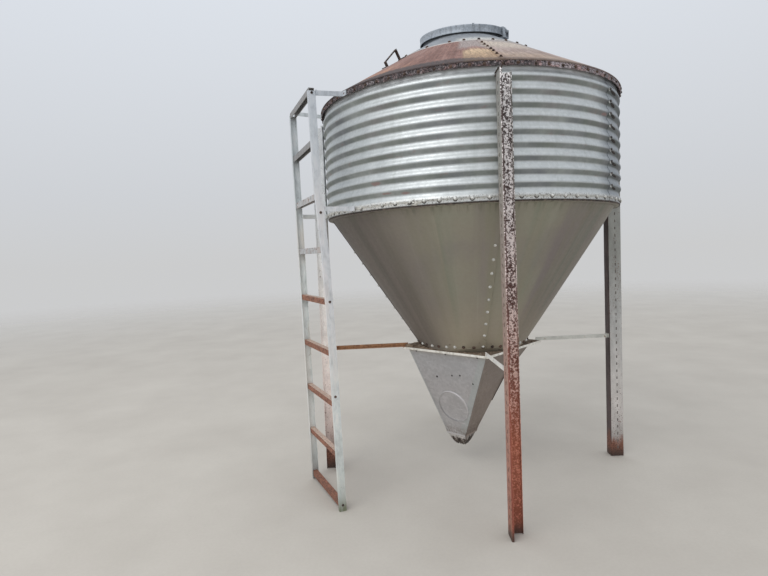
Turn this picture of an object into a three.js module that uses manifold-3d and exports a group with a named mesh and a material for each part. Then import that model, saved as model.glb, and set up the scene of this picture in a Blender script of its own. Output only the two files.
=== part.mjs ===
// Galvanised hopper-bottom grain silo on four legs: one ring of corrugated wall, a bolted conical roof
// with a filling collar and hinged lid, a conical hopper, a square pyramid discharge boot, corner
// braces and a fixed ladder. Millimetres, +Z up. All pieces are placed about the silo's vertical
// axis first (SILO group); the whole is then shifted so that the box round it is centred on X and Y.
import * as THREE from "three";
import { mergeVertices } from "three/addons/utils/BufferGeometryUtils.js";
import Module from "manifold-3d";

const wasm = await Module();
wasm.setup();

// ---------------------------------------------------------------- driving dimensions
const GAP = 0.3; // between pieces that touch
const SHEET = 3; // modelled thickness of the sheet metal

// corrugated wall
const WALL_R = 917; // middle of the corrugation
const WAVE = 6.5; // half its depth
const PITCH = 63.7;
const WALL_Z0 = 1666;
const CREST_Z0 = 1691; // lowest crest
const WALL_Z1 = 2333;
const WALL_SEAM = -43; // azimuth of one sheet seam, the others at 90 degree steps
const FACETS = 12; // a quarter turn

// eave rim and roof
const RIM_R = 931;
const RIM_Z0 = 2300;
const RIM_Z1 = 2332.4;
const ROOF = [
  [933, 2334.6],
  [300, 2704.8],
]; // outer face, radius and height
const ROOF_SEAM = -88;

// filling collar and lid
const COLLAR_R = 256;
const COLLAR_TOP = 2798;
const COLLAR_FLANGE_R = 466;
const LID_TILT = 0.115; // the lid and the collar's top edge fall towards -Y by this slope
const LID_SHIFT = 4; // of the lid's middle along X
const LID_R = 278.5;
const LID_Z0 = 2765;
const LID_Z1 = 2809;
const LID_PEAK = 2825;
const HINGE_AZ = -37;
const HINGE_R = 293.5;
const HINGE_Z = 2789;

// hopper cone (outer face) and its rings
const HOP_R1 = 911.6;
const HOP_Z1 = 1693.4;
const HOP_R0 = 355.2;
const HOP_Z0 = 843;
const HOP_SEAM = -88;
const HOP_RING_R = 916; // vertical ring inside the foot of the wall
const NECK_R = [326, 354]; // flaring ring between boot plate and cone, outer radii

// discharge boot
const BOOT_ROT = 1.7;
const PLATE_HD = 465; // half diagonal of the square plate
const PLATE_Z = 812; // its top face
const PLATE_LIP = 15;
const PLATE_HOLE = 279; // radius
const BOOT_TOP_HD = [428, 428, 400, 405]; // left, front, right and back corners
const BOOT_TOP_Z = 805.6;
const BOOT_BOT_HD = [101, 101, 91, 101];
const BOOT_BOT_Z = 205;
const BOOT_SHIFT = [-78, 27]; // of the outlet from the silo's axis
const BOOT_KINK = [ // heights at which the right corner's fold is bent in, and by how much
  [575, 38],
  [425, 24],
];
const OUTLET_Z0 = 124;

// legs: lipped angle, web set radially, inner flange against the wall
const LEG_TOP = 2270;
const LEG_IN = 925.5;
const LEG_WEB = 84;
const LEG_FLANGE = 75;
const LEG_T = 4;
const LEG_LIP = 12;
const LEG_AZ = { front: -90, right: 0, back: 90, left: 180 };

// braces: small angle from the boot plate's corners to the legs
const BRACE = 24;
const BRACE_T = 4;

// ladder
const LAD_AZ = 204.3; // direction it faces
const LAD_DIST = 1043; // of the stiles' middle from the silo's axis at the ground
const LAD_NEAR = -208; // stile middles along the ladder's width
const LAD_FAR = 297.5;
const LAD_LEAN = 0.01533; // outward for each unit of height
const STILE_TOP = 2310;
const STILE_W = 41;
const STILE_D = 20;
const STILE_T = 3;
const NEAR_BOW = [ // the near stile is bent outward above the foot of the wall: height and offset
  [0, -8],
  [950, -7],
  [1450, 1],
  [1800, 21],
  [2400, 23],
];
const FAR_BOW = [
  [0, -5],
  [2400, -10],
];
const RUNG_Z0 = 36;
const RUNG_STEP = 286.5;
const RUNG_TOP_Z = 2310; // the top rung lies over the stiles' ends
const RUNG_H = 32;
const RUNG_W = 31;

// ---------------------------------------------------------------- materials
const mat = (color, roughness, metalness) =>
  new THREE.MeshStandardMaterial({ color, roughness, metalness });
const GALV = mat(0xc4c8c8, 0.45, 0.75);
const GALV_DULL = mat(0x8f9089, 0.6, 0.55);
const GALV_BLUE = mat(0xa9b6bd, 0.5, 0.6);
const RUST_ROOF = mat(0xa4745c, 0.85, 0.15);
const RUST_DARK = mat(0x4a3a36, 0.9, 0.1);
const RUST_RED = mat(0x8a4a3c, 0.85, 0.15);
const LADDER_BLUE = mat(0xc0cdd4, 0.55, 0.35);

// ---------------------------------------------------------------- helpers
const rad = (d) => (d * Math.PI) / 180;
const silo = new THREE.Group();

function put(name, geometry, material, parent = silo) {
  const m = new THREE.Mesh(geometry, material);
  m.name = name;
  parent.add(m);
  return m;
}

function closed(positions, index) {
  const g = new THREE.BufferGeometry();
  g.setAttribute("position", new THREE.BufferAttribute(new Float32Array(positions), 3));
  g.setIndex(index);
  const merged = mergeVertices(g, 1e-3);
  merged.computeVertexNormals();
  return merged;
}

// Sweeps a closed profile of [radius, z] points (counter-clockwise with radius to the right and z up)
// about the vertical axis from azimuth a0 to a1 in n steps, with flat ends; a full turn has none.
function sweep(profile, a0, a1, n) {
  const full = Math.abs(a1 - a0 - 360) < 1e-9;
  const P = profile.length;
  const pos = [];
  const steps = full ? n : n + 1;
  for (let i = 0; i < steps; i++) {
    const a = rad(a0 + ((a1 - a0) * i) / n);
    for (const [r, z] of profile) pos.push(r * Math.cos(a), r * Math.sin(a), z);
  }
  const idx = [];
  for (let i = 0; i < n; i++) {
    const A = i * P;
    const B = ((i + 1) % steps) * P;
    for (let j = 0; j < P; j++) {
      const k = (j + 1) % P;
      idx.push(A + j, B + j, B + k, A + j, B + k, A + k);
    }
  }
  if (!full) {
    const caps = THREE.ShapeUtils.triangulateShape(
      profile.map(([r, z]) => new THREE.Vector2(r, z)),
      [],
    );
    const last = n * P;
    for (const [a, b, c] of caps) {
      idx.push(a, b, c);
      idx.push(last + a, last + c, last + b);
    }
  }
  return closed(pos, idx);
}

// Prism of a flat outline [x, y] between two heights.
function prism(outline, z0, z1) {
  const s = new THREE.Shape(outline.map(([x, y]) => new THREE.Vector2(x, y)));
  const g = new THREE.ExtrudeGeometry(s, { depth: z1 - z0, bevelEnabled: false });
  g.translate(0, 0, z0);
  return g;
}

const box = (x0, x1, y0, y1, z0, z1) => {
  const g = new THREE.BoxGeometry(x1 - x0, y1 - y0, z1 - z0);
  g.translate((x0 + x1) / 2, (y0 + y1) / 2, (z0 + z1) / 2);
  return g;
};

function solid(geometry) {
  const g = geometry.clone();
  g.deleteAttribute("normal");
  g.deleteAttribute("uv");
  const m = mergeVertices(g, 1e-4);
  return new wasm.Manifold(
    new wasm.Mesh({
      numProp: 3,
      vertProperties: new Float32Array(m.attributes.position.array),
      triVerts: new Uint32Array(m.index.array),
    }),
  );
}

function geometryOf(manifold) {
  const m = manifold.getMesh();
  return closed(Array.from(m.vertProperties), Array.from(m.triVerts));
}

const join = (...gs) => geometryOf(gs.map(solid).reduce((a, b) => a.add(b)));
const cut = (a, ...bs) => geometryOf(bs.map(solid).reduce((x, y) => x.subtract(y), solid(a)));

// A group whose +X points outward at the given azimuth.
function at(azimuth, parent = silo) {
  const g = new THREE.Group();
  g.rotation.z = rad(azimuth);
  parent.add(g);
  return g;
}

// ---------------------------------------------------------------- corrugated wall, four sheets
const wallLine = [];
wallLine.push([WALL_R + 1, WALL_Z0], [WALL_R + 1, CREST_Z0 - 9], [WALL_R + WAVE, CREST_Z0 - 2]);
for (let k = 0; CREST_Z0 + k * PITCH < WALL_Z1; k++) {
  const z = CREST_Z0 + k * PITCH;
  if (k > 0) wallLine.push([WALL_R + WAVE, z - PITCH * 0.09]);
  if (z + PITCH * 0.09 >= WALL_Z1) {
    wallLine.push([WALL_R + WAVE, WALL_Z1]);
    break;
  }
  wallLine.push(
    [WALL_R + WAVE, z + PITCH * 0.09],
    [WALL_R - WAVE, z + PITCH * 0.41],
    [WALL_R - WAVE, z + PITCH * 0.59],
  );
}
const wallProfile = [
  ...wallLine.map(([r, z]) => [r + SHEET / 2, z]),
  ...wallLine
    .slice()
    .reverse()
    .map(([r, z]) => [r - SHEET / 2, z]),
];
const seamGap = (r) => (GAP / r) * (180 / Math.PI);
["right", "back", "left", "front"].forEach((side, i) => {
  // the sheets run from seam to seam, each across one leg
  const a0 = WALL_SEAM + 90 * i;
  put(
    "wall_sheet_" + side,
    sweep(wallProfile, a0 + seamGap(WALL_R), a0 + 90 - seamGap(WALL_R), FACETS),
    GALV,
  );
});

// ---------------------------------------------------------------- eave rim
put(
  "eave_rim",
  sweep(
    [
      [RIM_R - 5.6, RIM_Z0],
      [RIM_R, RIM_Z0],
      [RIM_R, RIM_Z1 - 1.2],
      [RIM_R - 5.6, RIM_Z1],
    ],
    WALL_SEAM,
    WALL_SEAM + 360,
    4 * FACETS,
  ),
  RUST_DARK,
);

// ---------------------------------------------------------------- conical roof, four panels
const roofProfile = [
  ...ROOF.map(([r, z]) => [r, z - SHEET * 1.1]),
  ...ROOF.slice().reverse(),
].reverse();
["right", "back", "left", "front"].forEach((side, i) => {
  const a0 = ROOF_SEAM + 90 * i;
  put(
    "roof_panel_" + side,
    sweep(roofProfile, a0 + seamGap(600), a0 + 90 - seamGap(600), FACETS),
    RUST_ROOF,
  );
});

// ---------------------------------------------------------------- filling collar with its roof flange
const roofZ = (r) => ROOF[1][1] + ((ROOF[0][1] - ROOF[1][1]) * (r - ROOF[1][0])) / (ROOF[0][0] - ROOF[1][0]);
const flangeZ = (r) => roofZ(r) + GAP;
{
  const collar = sweep(
    [
      [COLLAR_R - SHEET, flangeZ(COLLAR_R - SHEET)],
      [COLLAR_FLANGE_R, flangeZ(COLLAR_FLANGE_R)],
      [COLLAR_FLANGE_R, flangeZ(COLLAR_FLANGE_R) + SHEET],
      [COLLAR_R, flangeZ(COLLAR_R) + SHEET],
      [COLLAR_R, COLLAR_TOP],
      [COLLAR_R - SHEET, COLLAR_TOP],
    ],
    ROOF_SEAM,
    ROOF_SEAM + 360,
    4 * FACETS,
  );
  // the top edge is cut to the lid's slope
  const p = collar.attributes.position;
  for (let i = 0; i < p.count; i++)
    if (p.getZ(i) > COLLAR_TOP - 1) p.setZ(i, p.getZ(i) + LID_TILT * p.getY(i));
  collar.computeVertexNormals();
  put("filling_collar", collar, GALV_BLUE);
}

// ---------------------------------------------------------------- lid: shallow cone with a turned-down skirt
// The lid and its hinge stand in a group that is tilted about X through the skirt's lower edge.
const tilted = new THREE.Group();
tilted.position.set(LID_SHIFT, 0, LID_Z0);
tilted.rotation.x = Math.atan(LID_TILT);
silo.add(tilted);
const lidGroup = new THREE.Group();
lidGroup.position.z = -LID_Z0;
tilted.add(lidGroup);
put(
  "lid",
  new THREE.LatheGeometry(
    [
      [0, LID_PEAK - SHEET],
      [LID_R - SHEET, LID_Z1 - SHEET],
      [LID_R - SHEET, LID_Z0],
      [LID_R, LID_Z0],
      [LID_R, LID_Z1],
      [0, LID_PEAK],
    ].map(([r, z]) => new THREE.Vector2(r, z)),
    48,
  ).rotateX(Math.PI / 2),
  GALV_BLUE,
  lidGroup,
);

// ---------------------------------------------------------------- lid hinge
// In the hinge's own group +X points outward, Y runs along the pin.
const hinge = at(HINGE_AZ, lidGroup);
const pinRod = new THREE.CylinderGeometry(4, 4, 56, 16).translate(HINGE_R, 0, HINGE_Z);
put(
  "lid_hinge_bracket",
  join(
    box(COLLAR_R + 12, HINGE_R + 8, -28, 28, 2747, 2752.5),
    box(HINGE_R - 8, HINGE_R + 8, 23, 28, 2751.5, HINGE_Z + 8),
    box(HINGE_R - 8, HINGE_R + 8, -28, -23, 2751.5, HINGE_Z + 8),
    pinRod,
  ),
  GALV_DULL,
  hinge,
);
const lidSlope = (LID_PEAK - LID_Z1) / LID_R;
const strapTop = (r) => LID_Z1 + (LID_R - r) * lidSlope + GAP;
const strapOutline = [
  [LID_R + GAP, LID_Z1 - 22],
  [HINGE_R - 2, HINGE_Z - 6],
  [HINGE_R + 6, HINGE_Z + 6],
  [LID_R + 6, LID_Z1 + 5],
  [140, strapTop(140) + 4],
  [140, strapTop(140)],
  [LID_R + GAP, LID_Z1 + GAP],
];
// outline in the X-Z plane, drawn in X-Y and stood up
const strapSolid = prism(strapOutline, -16, 16).rotateX(Math.PI / 2);
const knuckle = new THREE.CylinderGeometry(10, 10, 32, 20).translate(HINGE_R, 0, HINGE_Z);
const pinHole = new THREE.CylinderGeometry(5.2, 5.2, 60, 20).translate(HINGE_R, 0, HINGE_Z);
put(
  "lid_hinge_strap",
  geometryOf(solid(strapSolid).add(solid(knuckle)).subtract(solid(pinHole))),
  GALV_DULL,
  hinge,
);

// ---------------------------------------------------------------- grab handle on the roof: bent strap
{
  const g = at(-146);
  const slope = Math.atan2(ROOF[1][1] - ROOF[0][1], ROOF[0][0] - ROOF[1][0]);
  // local frame: X down the roof slope, Y out of the roof
  const T = 5;
  const outline = [
    [-40, 0], [8, 0], [8, 58], [112, 26], [112, 0], [150, 0], [150, T], [117, T], [117, 30],
    [3, 65], [3, T], [-40, T],
  ];
  const s = prism(outline, -10, 10);
  const m = new THREE.Matrix4();
  const r0 = 505;
  // columns: X axis down the slope, Y axis along the outward normal, Z axis across
  const ex = new THREE.Vector3(Math.cos(slope), 0, -Math.sin(slope));
  const ey = new THREE.Vector3(Math.sin(slope), 0, Math.cos(slope));
  const ez = new THREE.Vector3().crossVectors(ex, ey);
  m.makeBasis(ex, ey, ez).setPosition(r0 + ey.x * GAP, 0, roofZ(r0) + ey.z * GAP);
  s.applyMatrix4(m);
  put("roof_handle", s, RUST_DARK, g);
}

// ---------------------------------------------------------------- hopper: top ring, four cone panels, neck ring
put(
  "hopper_top_ring",
  sweep(
    [
      [HOP_RING_R - 4, 1656],
      [HOP_RING_R, 1656],
      [HOP_RING_R, 1699],
      [HOP_RING_R - 4, 1699],
    ],
    WALL_SEAM,
    WALL_SEAM + 360,
    4 * FACETS,
  ),
  GALV_DULL,
);
{
  const dr = HOP_R1 - HOP_R0;
  const dz = HOP_Z1 - HOP_Z0;
  const t = SHEET * Math.hypot(dr, dz) / dz; // wall thickness measured level
  const profile = [
    [HOP_R0 - t, HOP_Z0],
    [HOP_R0, HOP_Z0],
    [HOP_R1, HOP_Z1],
    [HOP_R1 - t, HOP_Z1],
  ];
  ["right", "back", "left", "front"].forEach((side, i) => {
    const a0 = HOP_SEAM + 90 * i;
    put(
      "hopper_panel_" + side,
      sweep(profile, a0 + seamGap(600), a0 + 90 - seamGap(600), FACETS),
      GALV_DULL,
    );
  });
}
put(
  "hopper_neck_ring",
  sweep(
    [
      [NECK_R[0] - 20, PLATE_Z + GAP],
      [NECK_R[0], PLATE_Z + GAP],
      [NECK_R[1], HOP_Z0 - GAP],
      [NECK_R[1] - 20, HOP_Z0 - GAP],
    ],
    HOP_SEAM,
    HOP_SEAM + 360,
    48,
  ),
  GALV_DULL,
);

// ---------------------------------------------------------------- boot plate: square, turned-down lip, round hole
const square = (hd, cx = 0, cy = 0) =>
  [180, 270, 0, 90].map((a, i) => {
    const t = rad(a + BOOT_ROT);
    const h = Array.isArray(hd) ? hd[i] : hd;
    return [cx + h * Math.cos(t), cy + h * Math.sin(t)];
  });
const less = (hds, d) => hds.map((h) => h - d);
{
  const slab = prism(square(PLATE_HD), PLATE_Z - PLATE_LIP, PLATE_Z);
  const under = prism(square(PLATE_HD - 7), PLATE_Z - PLATE_LIP - 5, PLATE_Z - 5);
  const hole = new THREE.CylinderGeometry(PLATE_HOLE, PLATE_HOLE, 40, 48)
    .rotateX(Math.PI / 2)
    .translate(0, 0, PLATE_Z);
  put("boot_top_plate", cut(slab, under, hole), RUST_DARK);
}

// ---------------------------------------------------------------- boot: four tapering walls
{
  const T = SHEET;
  const levels = [BOOT_TOP_Z, ...BOOT_KINK.map(([z]) => z), BOOT_BOT_Z];
  const top = [square(BOOT_TOP_HD), square(less(BOOT_TOP_HD, T * 1.6))];
  const bottom = [
    square(BOOT_BOT_HD, ...BOOT_SHIFT),
    square(less(BOOT_BOT_HD, T * 1.6), ...BOOT_SHIFT),
  ];
  // corner i of the outer (0) or inner (1) face at a level; the right corner's fold is bent in
  const corner = (face, i, l) => {
    const f = (BOOT_TOP_Z - levels[l]) / (BOOT_TOP_Z - BOOT_BOT_Z);
    const [a, b] = [top[face][i], bottom[face][i]];
    const p = [a[0] + (b[0] - a[0]) * f, a[1] + (b[1] - a[1]) * f];
    if (i === 2 && l > 0 && l < levels.length - 1) p[0] -= BOOT_KINK[l - 1][1];
    return p;
  };
  const mix = (p, q, mm) => {
    const l = Math.hypot(q[0] - p[0], q[1] - p[1]);
    return [p[0] + ((q[0] - p[0]) * mm) / l, p[1] + ((q[1] - p[1]) * mm) / l];
  };
  ["front_left", "front_right", "back_right", "back_left"].forEach((side, i) => {
    const j = (i + 1) % 4;
    const bent = i === 2 || j === 2;
    const used = levels.map((z, l) => l).filter((l) => bent || l === 0 || l === levels.length - 1);
    const pos = [];
    for (const l of used) {
      const [o0, o1] = [corner(0, i, l), corner(0, j, l)];
      const [n0, n1] = [corner(1, i, l), corner(1, j, l)];
      for (const p of [mix(o0, o1, GAP), mix(o1, o0, GAP), mix(n1, n0, GAP), mix(n0, n1, GAP)])
        pos.push(p[0], p[1], levels[l]);
    }
    const q = (a, b, d, e) => [a, b, d, a, d, e];
    const idx = [...q(0, 1, 2, 3)];
    const last = 4 * (used.length - 1);
    idx.push(...q(last, last + 3, last + 2, last + 1));
    for (let l = 0; l < used.length - 1; l++)
      for (let c = 0; c < 4; c++) {
        const d = (c + 1) % 4;
        const f = [4 * l + c, 4 * l + 4 + c, 4 * l + 4 + d, 4 * l + d];
        // the inner face is split along the same diagonal as the outer one
        if (c === 2) f.push(f.shift());
        idx.push(...q(...f));
      }
    put("boot_wall_" + side, closed(pos, idx), GALV);
  });

  // round cover over the knock-out in the front left wall, seated on its outer face
  const A = new THREE.Vector3(...top[0][0], BOOT_TOP_Z);
  const B = new THREE.Vector3(...top[0][1], BOOT_TOP_Z);
  const C = new THREE.Vector3(...bottom[0][0], BOOT_BOT_Z);
  const D = new THREE.Vector3(...bottom[0][1], BOOT_BOT_Z);
  const ex = B.clone().sub(A).normalize();
  const midT = A.clone().add(B).multiplyScalar(0.5);
  const midB = C.clone().add(D).multiplyScalar(0.5);
  const n = ex.clone().cross(C.clone().sub(A)).normalize().multiplyScalar(-1);
  if (n.x > 0) n.multiplyScalar(-1);
  const ey = n.clone().cross(ex);
  const centre = midT.clone().lerp(midB, 0.645).addScaledVector(ex, 8.7);
  const disc = new THREE.CylinderGeometry(104, 104, 4, 40).rotateX(Math.PI / 2).translate(0, 0, 2);
  const g = new THREE.Group();
  g.matrixAutoUpdate = false;
  g.matrix.makeBasis(ex, ey, n).setPosition(centre.addScaledVector(n, GAP));
  silo.add(g);
  put("boot_cover_plate", disc, GALV, g);
}

// ---------------------------------------------------------------- outlet: short square tube, its lower edge rusted away
{
  const top = square(less(BOOT_BOT_HD, 2), ...BOOT_SHIFT);
  const outer = [];
  const inner = [];
  const low = [];
  const N = 4; // points a side
  const bite = [12, 26, 8, 20, 2, 16, 6, 30, 10, 22, 4, 18, 8, 26, 6, 14];
  const inTop = square(less(BOOT_BOT_HD, 9), ...BOOT_SHIFT);
  for (let i = 0; i < 4; i++) {
    const j = (i + 1) % 4;
    for (let k = 0; k < N; k++) {
      const f = k / N;
      outer.push([top[i][0] * (1 - f) + top[j][0] * f, top[i][1] * (1 - f) + top[j][1] * f]);
      inner.push([inTop[i][0] * (1 - f) + inTop[j][0] * f, inTop[i][1] * (1 - f) + inTop[j][1] * f]);
      low.push(OUTLET_Z0 + bite[i * N + k]);
    }
  }
  const M = outer.length;
  const zt = BOOT_BOT_Z - GAP;
  const draw = 0.4; // the tube is crushed in towards its lower edge
  const sh = (p, f) => [
    BOOT_SHIFT[0] + (p[0] - BOOT_SHIFT[0]) * f,
    BOOT_SHIFT[1] + (p[1] - BOOT_SHIFT[1]) * f,
  ];
  const pos = [];
  for (let i = 0; i < M; i++) pos.push(...outer[i], zt);
  for (let i = 0; i < M; i++) pos.push(...sh(outer[i], draw), low[i]);
  for (let i = 0; i < M; i++) pos.push(...sh(inner[i], draw), low[i]);
  for (let i = 0; i < M; i++) pos.push(...inner[i], zt);
  const idx = [];
  for (let ring = 0; ring < 4; ring++) {
    const a = ring * M;
    const b = ((ring + 1) % 4) * M;
    for (let i = 0; i < M; i++) {
      const j = (i + 1) % M;
      // the inner face is split along the same diagonal as the outer one
      if (ring === 2) idx.push(a + i, b + i, a + j, b + i, b + j, a + j);
      else idx.push(a + i, b + i, b + j, a + i, b + j, a + j);
    }
  }
  put("outlet_spout", closed(pos, idx), RUST_DARK);
}

// ---------------------------------------------------------------- legs
for (const [side, az] of Object.entries(LEG_AZ)) {
  const g = at(az);
  const u = LEG_IN;
  const outline = [
    [u, 0],
    [u + LEG_WEB, 0],
    [u + LEG_WEB, LEG_LIP],
    [u + LEG_WEB - LEG_T, LEG_LIP],
    [u + LEG_WEB - LEG_T, LEG_T],
    [u + LEG_T, LEG_T],
    [u + LEG_T, LEG_FLANGE - LEG_T],
    [u + LEG_LIP, LEG_FLANGE - LEG_T],
    [u + LEG_LIP, LEG_FLANGE],
    [u, LEG_FLANGE],
  ];
  put("leg_" + side, prism(outline, 0, LEG_TOP), side === "front" ? RUST_RED : GALV_DULL, g);
}

// ---------------------------------------------------------------- braces
for (const [side, az] of Object.entries(LEG_AZ)) {
  const g = at(az);
  // from the plate's corner to the back of the leg's inner flange
  const start = side === "front" ? 452 : 428;
  const p = [start, start * Math.sin(rad(BOOT_ROT))];
  const q = [LEG_IN - GAP, 32];
  const turn = Math.atan2(q[1] - p[1], q[0] - p[0]);
  const len = Math.hypot(q[0] - p[0], q[1] - p[1]);
  const z = PLATE_Z + GAP;
  const bar = join(
    box(0, len - 8, -BRACE / 2, BRACE / 2, z, z + BRACE_T),
    box(0, len - 8, -BRACE / 2, -BRACE / 2 + BRACE_T, z, z + BRACE),
  );
  bar.rotateZ(turn).translate(p[0], p[1], 0);
  const tab = box(LEG_IN - GAP - BRACE_T, LEG_IN - GAP, 10, 56, z, z + BRACE);
  const foot = box(LEG_IN - 30, LEG_IN - GAP - 1, 14, 34, z, z + BRACE_T);
  put(
    "brace_" + side,
    join(bar, foot, tab),
    side === "left" || side === "front" ? RUST_ROOF : GALV_DULL,
    g,
  );
}

// ---------------------------------------------------------------- ladder
// Its group: +X faces outward, +Y runs from the near stile to the far one, leaning out with height.
const ladder = at(LAD_AZ);
ladder.rotation.z = rad(LAD_AZ);
const lean = (geometry) => {
  // +Y of this group runs clockwise seen from above, so the near stile has the greater Y
  const m = new THREE.Matrix4().set(
    1, 0, LAD_LEAN, 0,
    0, 1, 0, 0,
    0, 0, 1, 0,
    0, 0, 0, 1,
  );
  return geometry.applyMatrix4(m);
};
const yNear = -LAD_NEAR;
const yFar = -LAD_FAR;
const bow = (table, z) => {
  let i = 0;
  while (i < table.length - 2 && z > table[i + 1][0]) i++;
  const [[z0, d0], [z1, d1]] = [table[i], table[i + 1]];
  return d0 + ((d1 - d0) * (z - z0)) / (z1 - z0);
};
const stile = (y, dir, table) => {
  // channel: web on the outside of the ladder, flanges towards the rungs
  const x0 = LAD_DIST - STILE_W / 2;
  const x1 = LAD_DIST + STILE_W / 2;
  const w = y + (dir * STILE_D) / 2;
  const i = y - (dir * STILE_D) / 2;
  const section = [
    [x0, w],
    [x1, w],
    [x1, i],
    [x1 - STILE_T, i],
    [x1 - STILE_T, w - dir * STILE_T],
    [x0 + STILE_T, w - dir * STILE_T],
    [x0 + STILE_T, i],
    [x0, i],
  ];
  if (dir > 0) section.reverse(); // now counter-clockwise seen from above
  const heights = [0, ...table.map(([z]) => z).filter((z) => z > 0 && z < STILE_TOP), STILE_TOP];
  const pos = heights.flatMap((z) => section.flatMap(([x, v]) => [x + bow(table, z), v, z]));
  const M = section.length;
  const idx = [];
  for (let l = 0; l < heights.length - 1; l++)
    for (let c = 0; c < M; c++) {
      const a = l * M + c;
      const b = l * M + ((c + 1) % M);
      idx.push(a, b, b + M, a, b + M, a + M);
    }
  const last = (heights.length - 1) * M;
  const caps = THREE.ShapeUtils.triangulateShape(section.map(([x, v]) => new THREE.Vector2(x, v)), []);
  for (const [a, b, c] of caps) {
    idx.push(a, c, b);
    idx.push(last + a, last + b, last + c);
  }
  return lean(closed(pos, idx));
};
put("ladder_stile_near", stile(yNear, 1, NEAR_BOW), LADDER_BLUE, ladder);
put("ladder_stile_far", stile(yFar, -1, FAR_BOW), LADDER_BLUE, ladder);

const rungIn = STILE_D / 2 - STILE_T - GAP; // rung ends lie inside the stiles' channels
for (let k = 0; k < 9; k++) {
  const z = k === 8 ? RUNG_TOP_Z : RUNG_Z0 + k * RUNG_STEP;
  const x0 = LAD_DIST - RUNG_W / 2;
  const x1 = LAD_DIST + RUNG_W / 2;
  const z0 = z - RUNG_H / 2;
  const z1 = z + RUNG_H / 2;
  const t = STILE_T;
  // folded rung: flat tread with two turned-down sides
  const outline = [
    [x0, z0],
    [x0 + t, z0],
    [x0 + t, z1 - t],
    [x1 - t, z1 - t],
    [x1 - t, z0],
    [x1, z0],
    [x1, z1],
    [x0, z1],
  ];
  const y0 = yFar - rungIn;
  const y1 = yNear + rungIn;
  // its ends follow the stiles' bends
  const [dFar, dNear] = [bow(FAR_BOW, z), bow(NEAR_BOW, z)];
  const slope = (dNear - dFar) / (yNear - yFar);
  const skew = new THREE.Matrix4().set(
    1, slope, 0, dFar - slope * yFar,
    0, 1, 0, 0,
    0, 0, 1, 0,
    0, 0, 0, 1,
  );
  const s = prism(outline, -y1, -y0).rotateX(Math.PI / 2).applyMatrix4(skew);
  put(
    "ladder_rung_" + (k + 1),
    lean(s),
    k < 5 ? RUST_RED : LADDER_BLUE,
    ladder,
  );
}

// stand-off arms from the stiles to the eave rim and to the foot of the wall; z is that of the outer
// end's middle at the wall, drop how much lower the end at the stile is, inset how far the wall's end
// lies towards the ladder's middle
const arm = (name, y, z, R, table, drop = 0, inset = 0, h = 26) => {
  const x1 = LAD_DIST - STILE_W / 2 + LAD_LEAN * (z - drop) + bow(table, z - drop) - GAP - 1.2;
  const yr = y - inset;
  const tilt = Math.asin(yr / R);
  const x0 = R * Math.cos(tilt);
  const t = 5;
  const k = inset / (x1 - x0);
  const d = -drop / (x1 - x0);
  const skew = new THREE.Matrix4().set(
    1, 0, 0, 0,
    k, 1, 0, yr - k * x0,
    d, 0, 1, z - d * x0,
    0, 0, 0, 1,
  );
  const bar = box(x0 - 1, x1, -t / 2, t / 2, -h / 2, h / 2).applyMatrix4(skew);
  const foot = box(x1 - 4, x1, -16, 16, -h / 2, h / 2).applyMatrix4(skew);
  const trim = box(-R - 300, R + 0.5, -300, 300, z - 60, z + 60).rotateZ(tilt);
  const tab = box(R + 0.5, R + 5, -4, 34, z - h / 2, z + h / 2).rotateZ(tilt);
  put(
    name,
    geometryOf(solid(bar).subtract(solid(trim)).add(solid(tab)).add(solid(foot))),
    LADDER_BLUE,
    ladder,
  );
};
const FOOT_R = WALL_R + WAVE + SHEET / 2 + 0.2;
arm("ladder_arm_top_near", yNear, 2317, RIM_R, NEAR_BOW, 14, 20);
arm("ladder_arm_top_far", yFar, 2319, RIM_R, FAR_BOW, -8, 0, 22);
arm("ladder_arm_low_near", yNear, 1688, FOOT_R, NEAR_BOW);
arm("ladder_arm_low_far", yFar, 1688, FOOT_R, FAR_BOW);

// ---------------------------------------------------------------- centre the box round the whole on the origin
silo.updateMatrixWorld(true);
const bounds = new THREE.Box3().setFromObject(silo, true);
silo.position.set(-(bounds.min.x + bounds.max.x) / 2, -(bounds.min.y + bounds.max.y) / 2, 0);
const part = new THREE.Group();
part.name = "grain_silo";
part.add(silo);

export default part;
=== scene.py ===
import math

import bpy
import numpy as np
from mathutils import Matrix, Vector


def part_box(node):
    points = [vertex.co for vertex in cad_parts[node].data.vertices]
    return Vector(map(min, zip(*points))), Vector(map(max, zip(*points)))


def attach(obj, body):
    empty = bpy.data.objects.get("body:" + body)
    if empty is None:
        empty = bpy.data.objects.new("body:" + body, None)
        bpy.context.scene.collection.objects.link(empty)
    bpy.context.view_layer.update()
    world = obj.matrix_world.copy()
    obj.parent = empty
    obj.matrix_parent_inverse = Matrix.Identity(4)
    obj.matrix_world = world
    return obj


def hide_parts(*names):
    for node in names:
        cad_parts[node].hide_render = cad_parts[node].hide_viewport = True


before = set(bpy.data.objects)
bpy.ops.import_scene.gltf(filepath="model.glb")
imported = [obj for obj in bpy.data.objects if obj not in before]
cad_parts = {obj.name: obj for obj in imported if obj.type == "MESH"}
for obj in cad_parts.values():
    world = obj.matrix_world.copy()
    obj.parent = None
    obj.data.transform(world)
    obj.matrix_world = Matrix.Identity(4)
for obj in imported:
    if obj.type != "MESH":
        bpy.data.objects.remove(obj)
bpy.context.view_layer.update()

rim_lo, rim_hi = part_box("eave_rim")
AX = (rim_lo.x + rim_hi.x) / 2  # the silo's axis stands at (AX, 0)
SCENE = bpy.context.scene
R = math.radians

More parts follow.
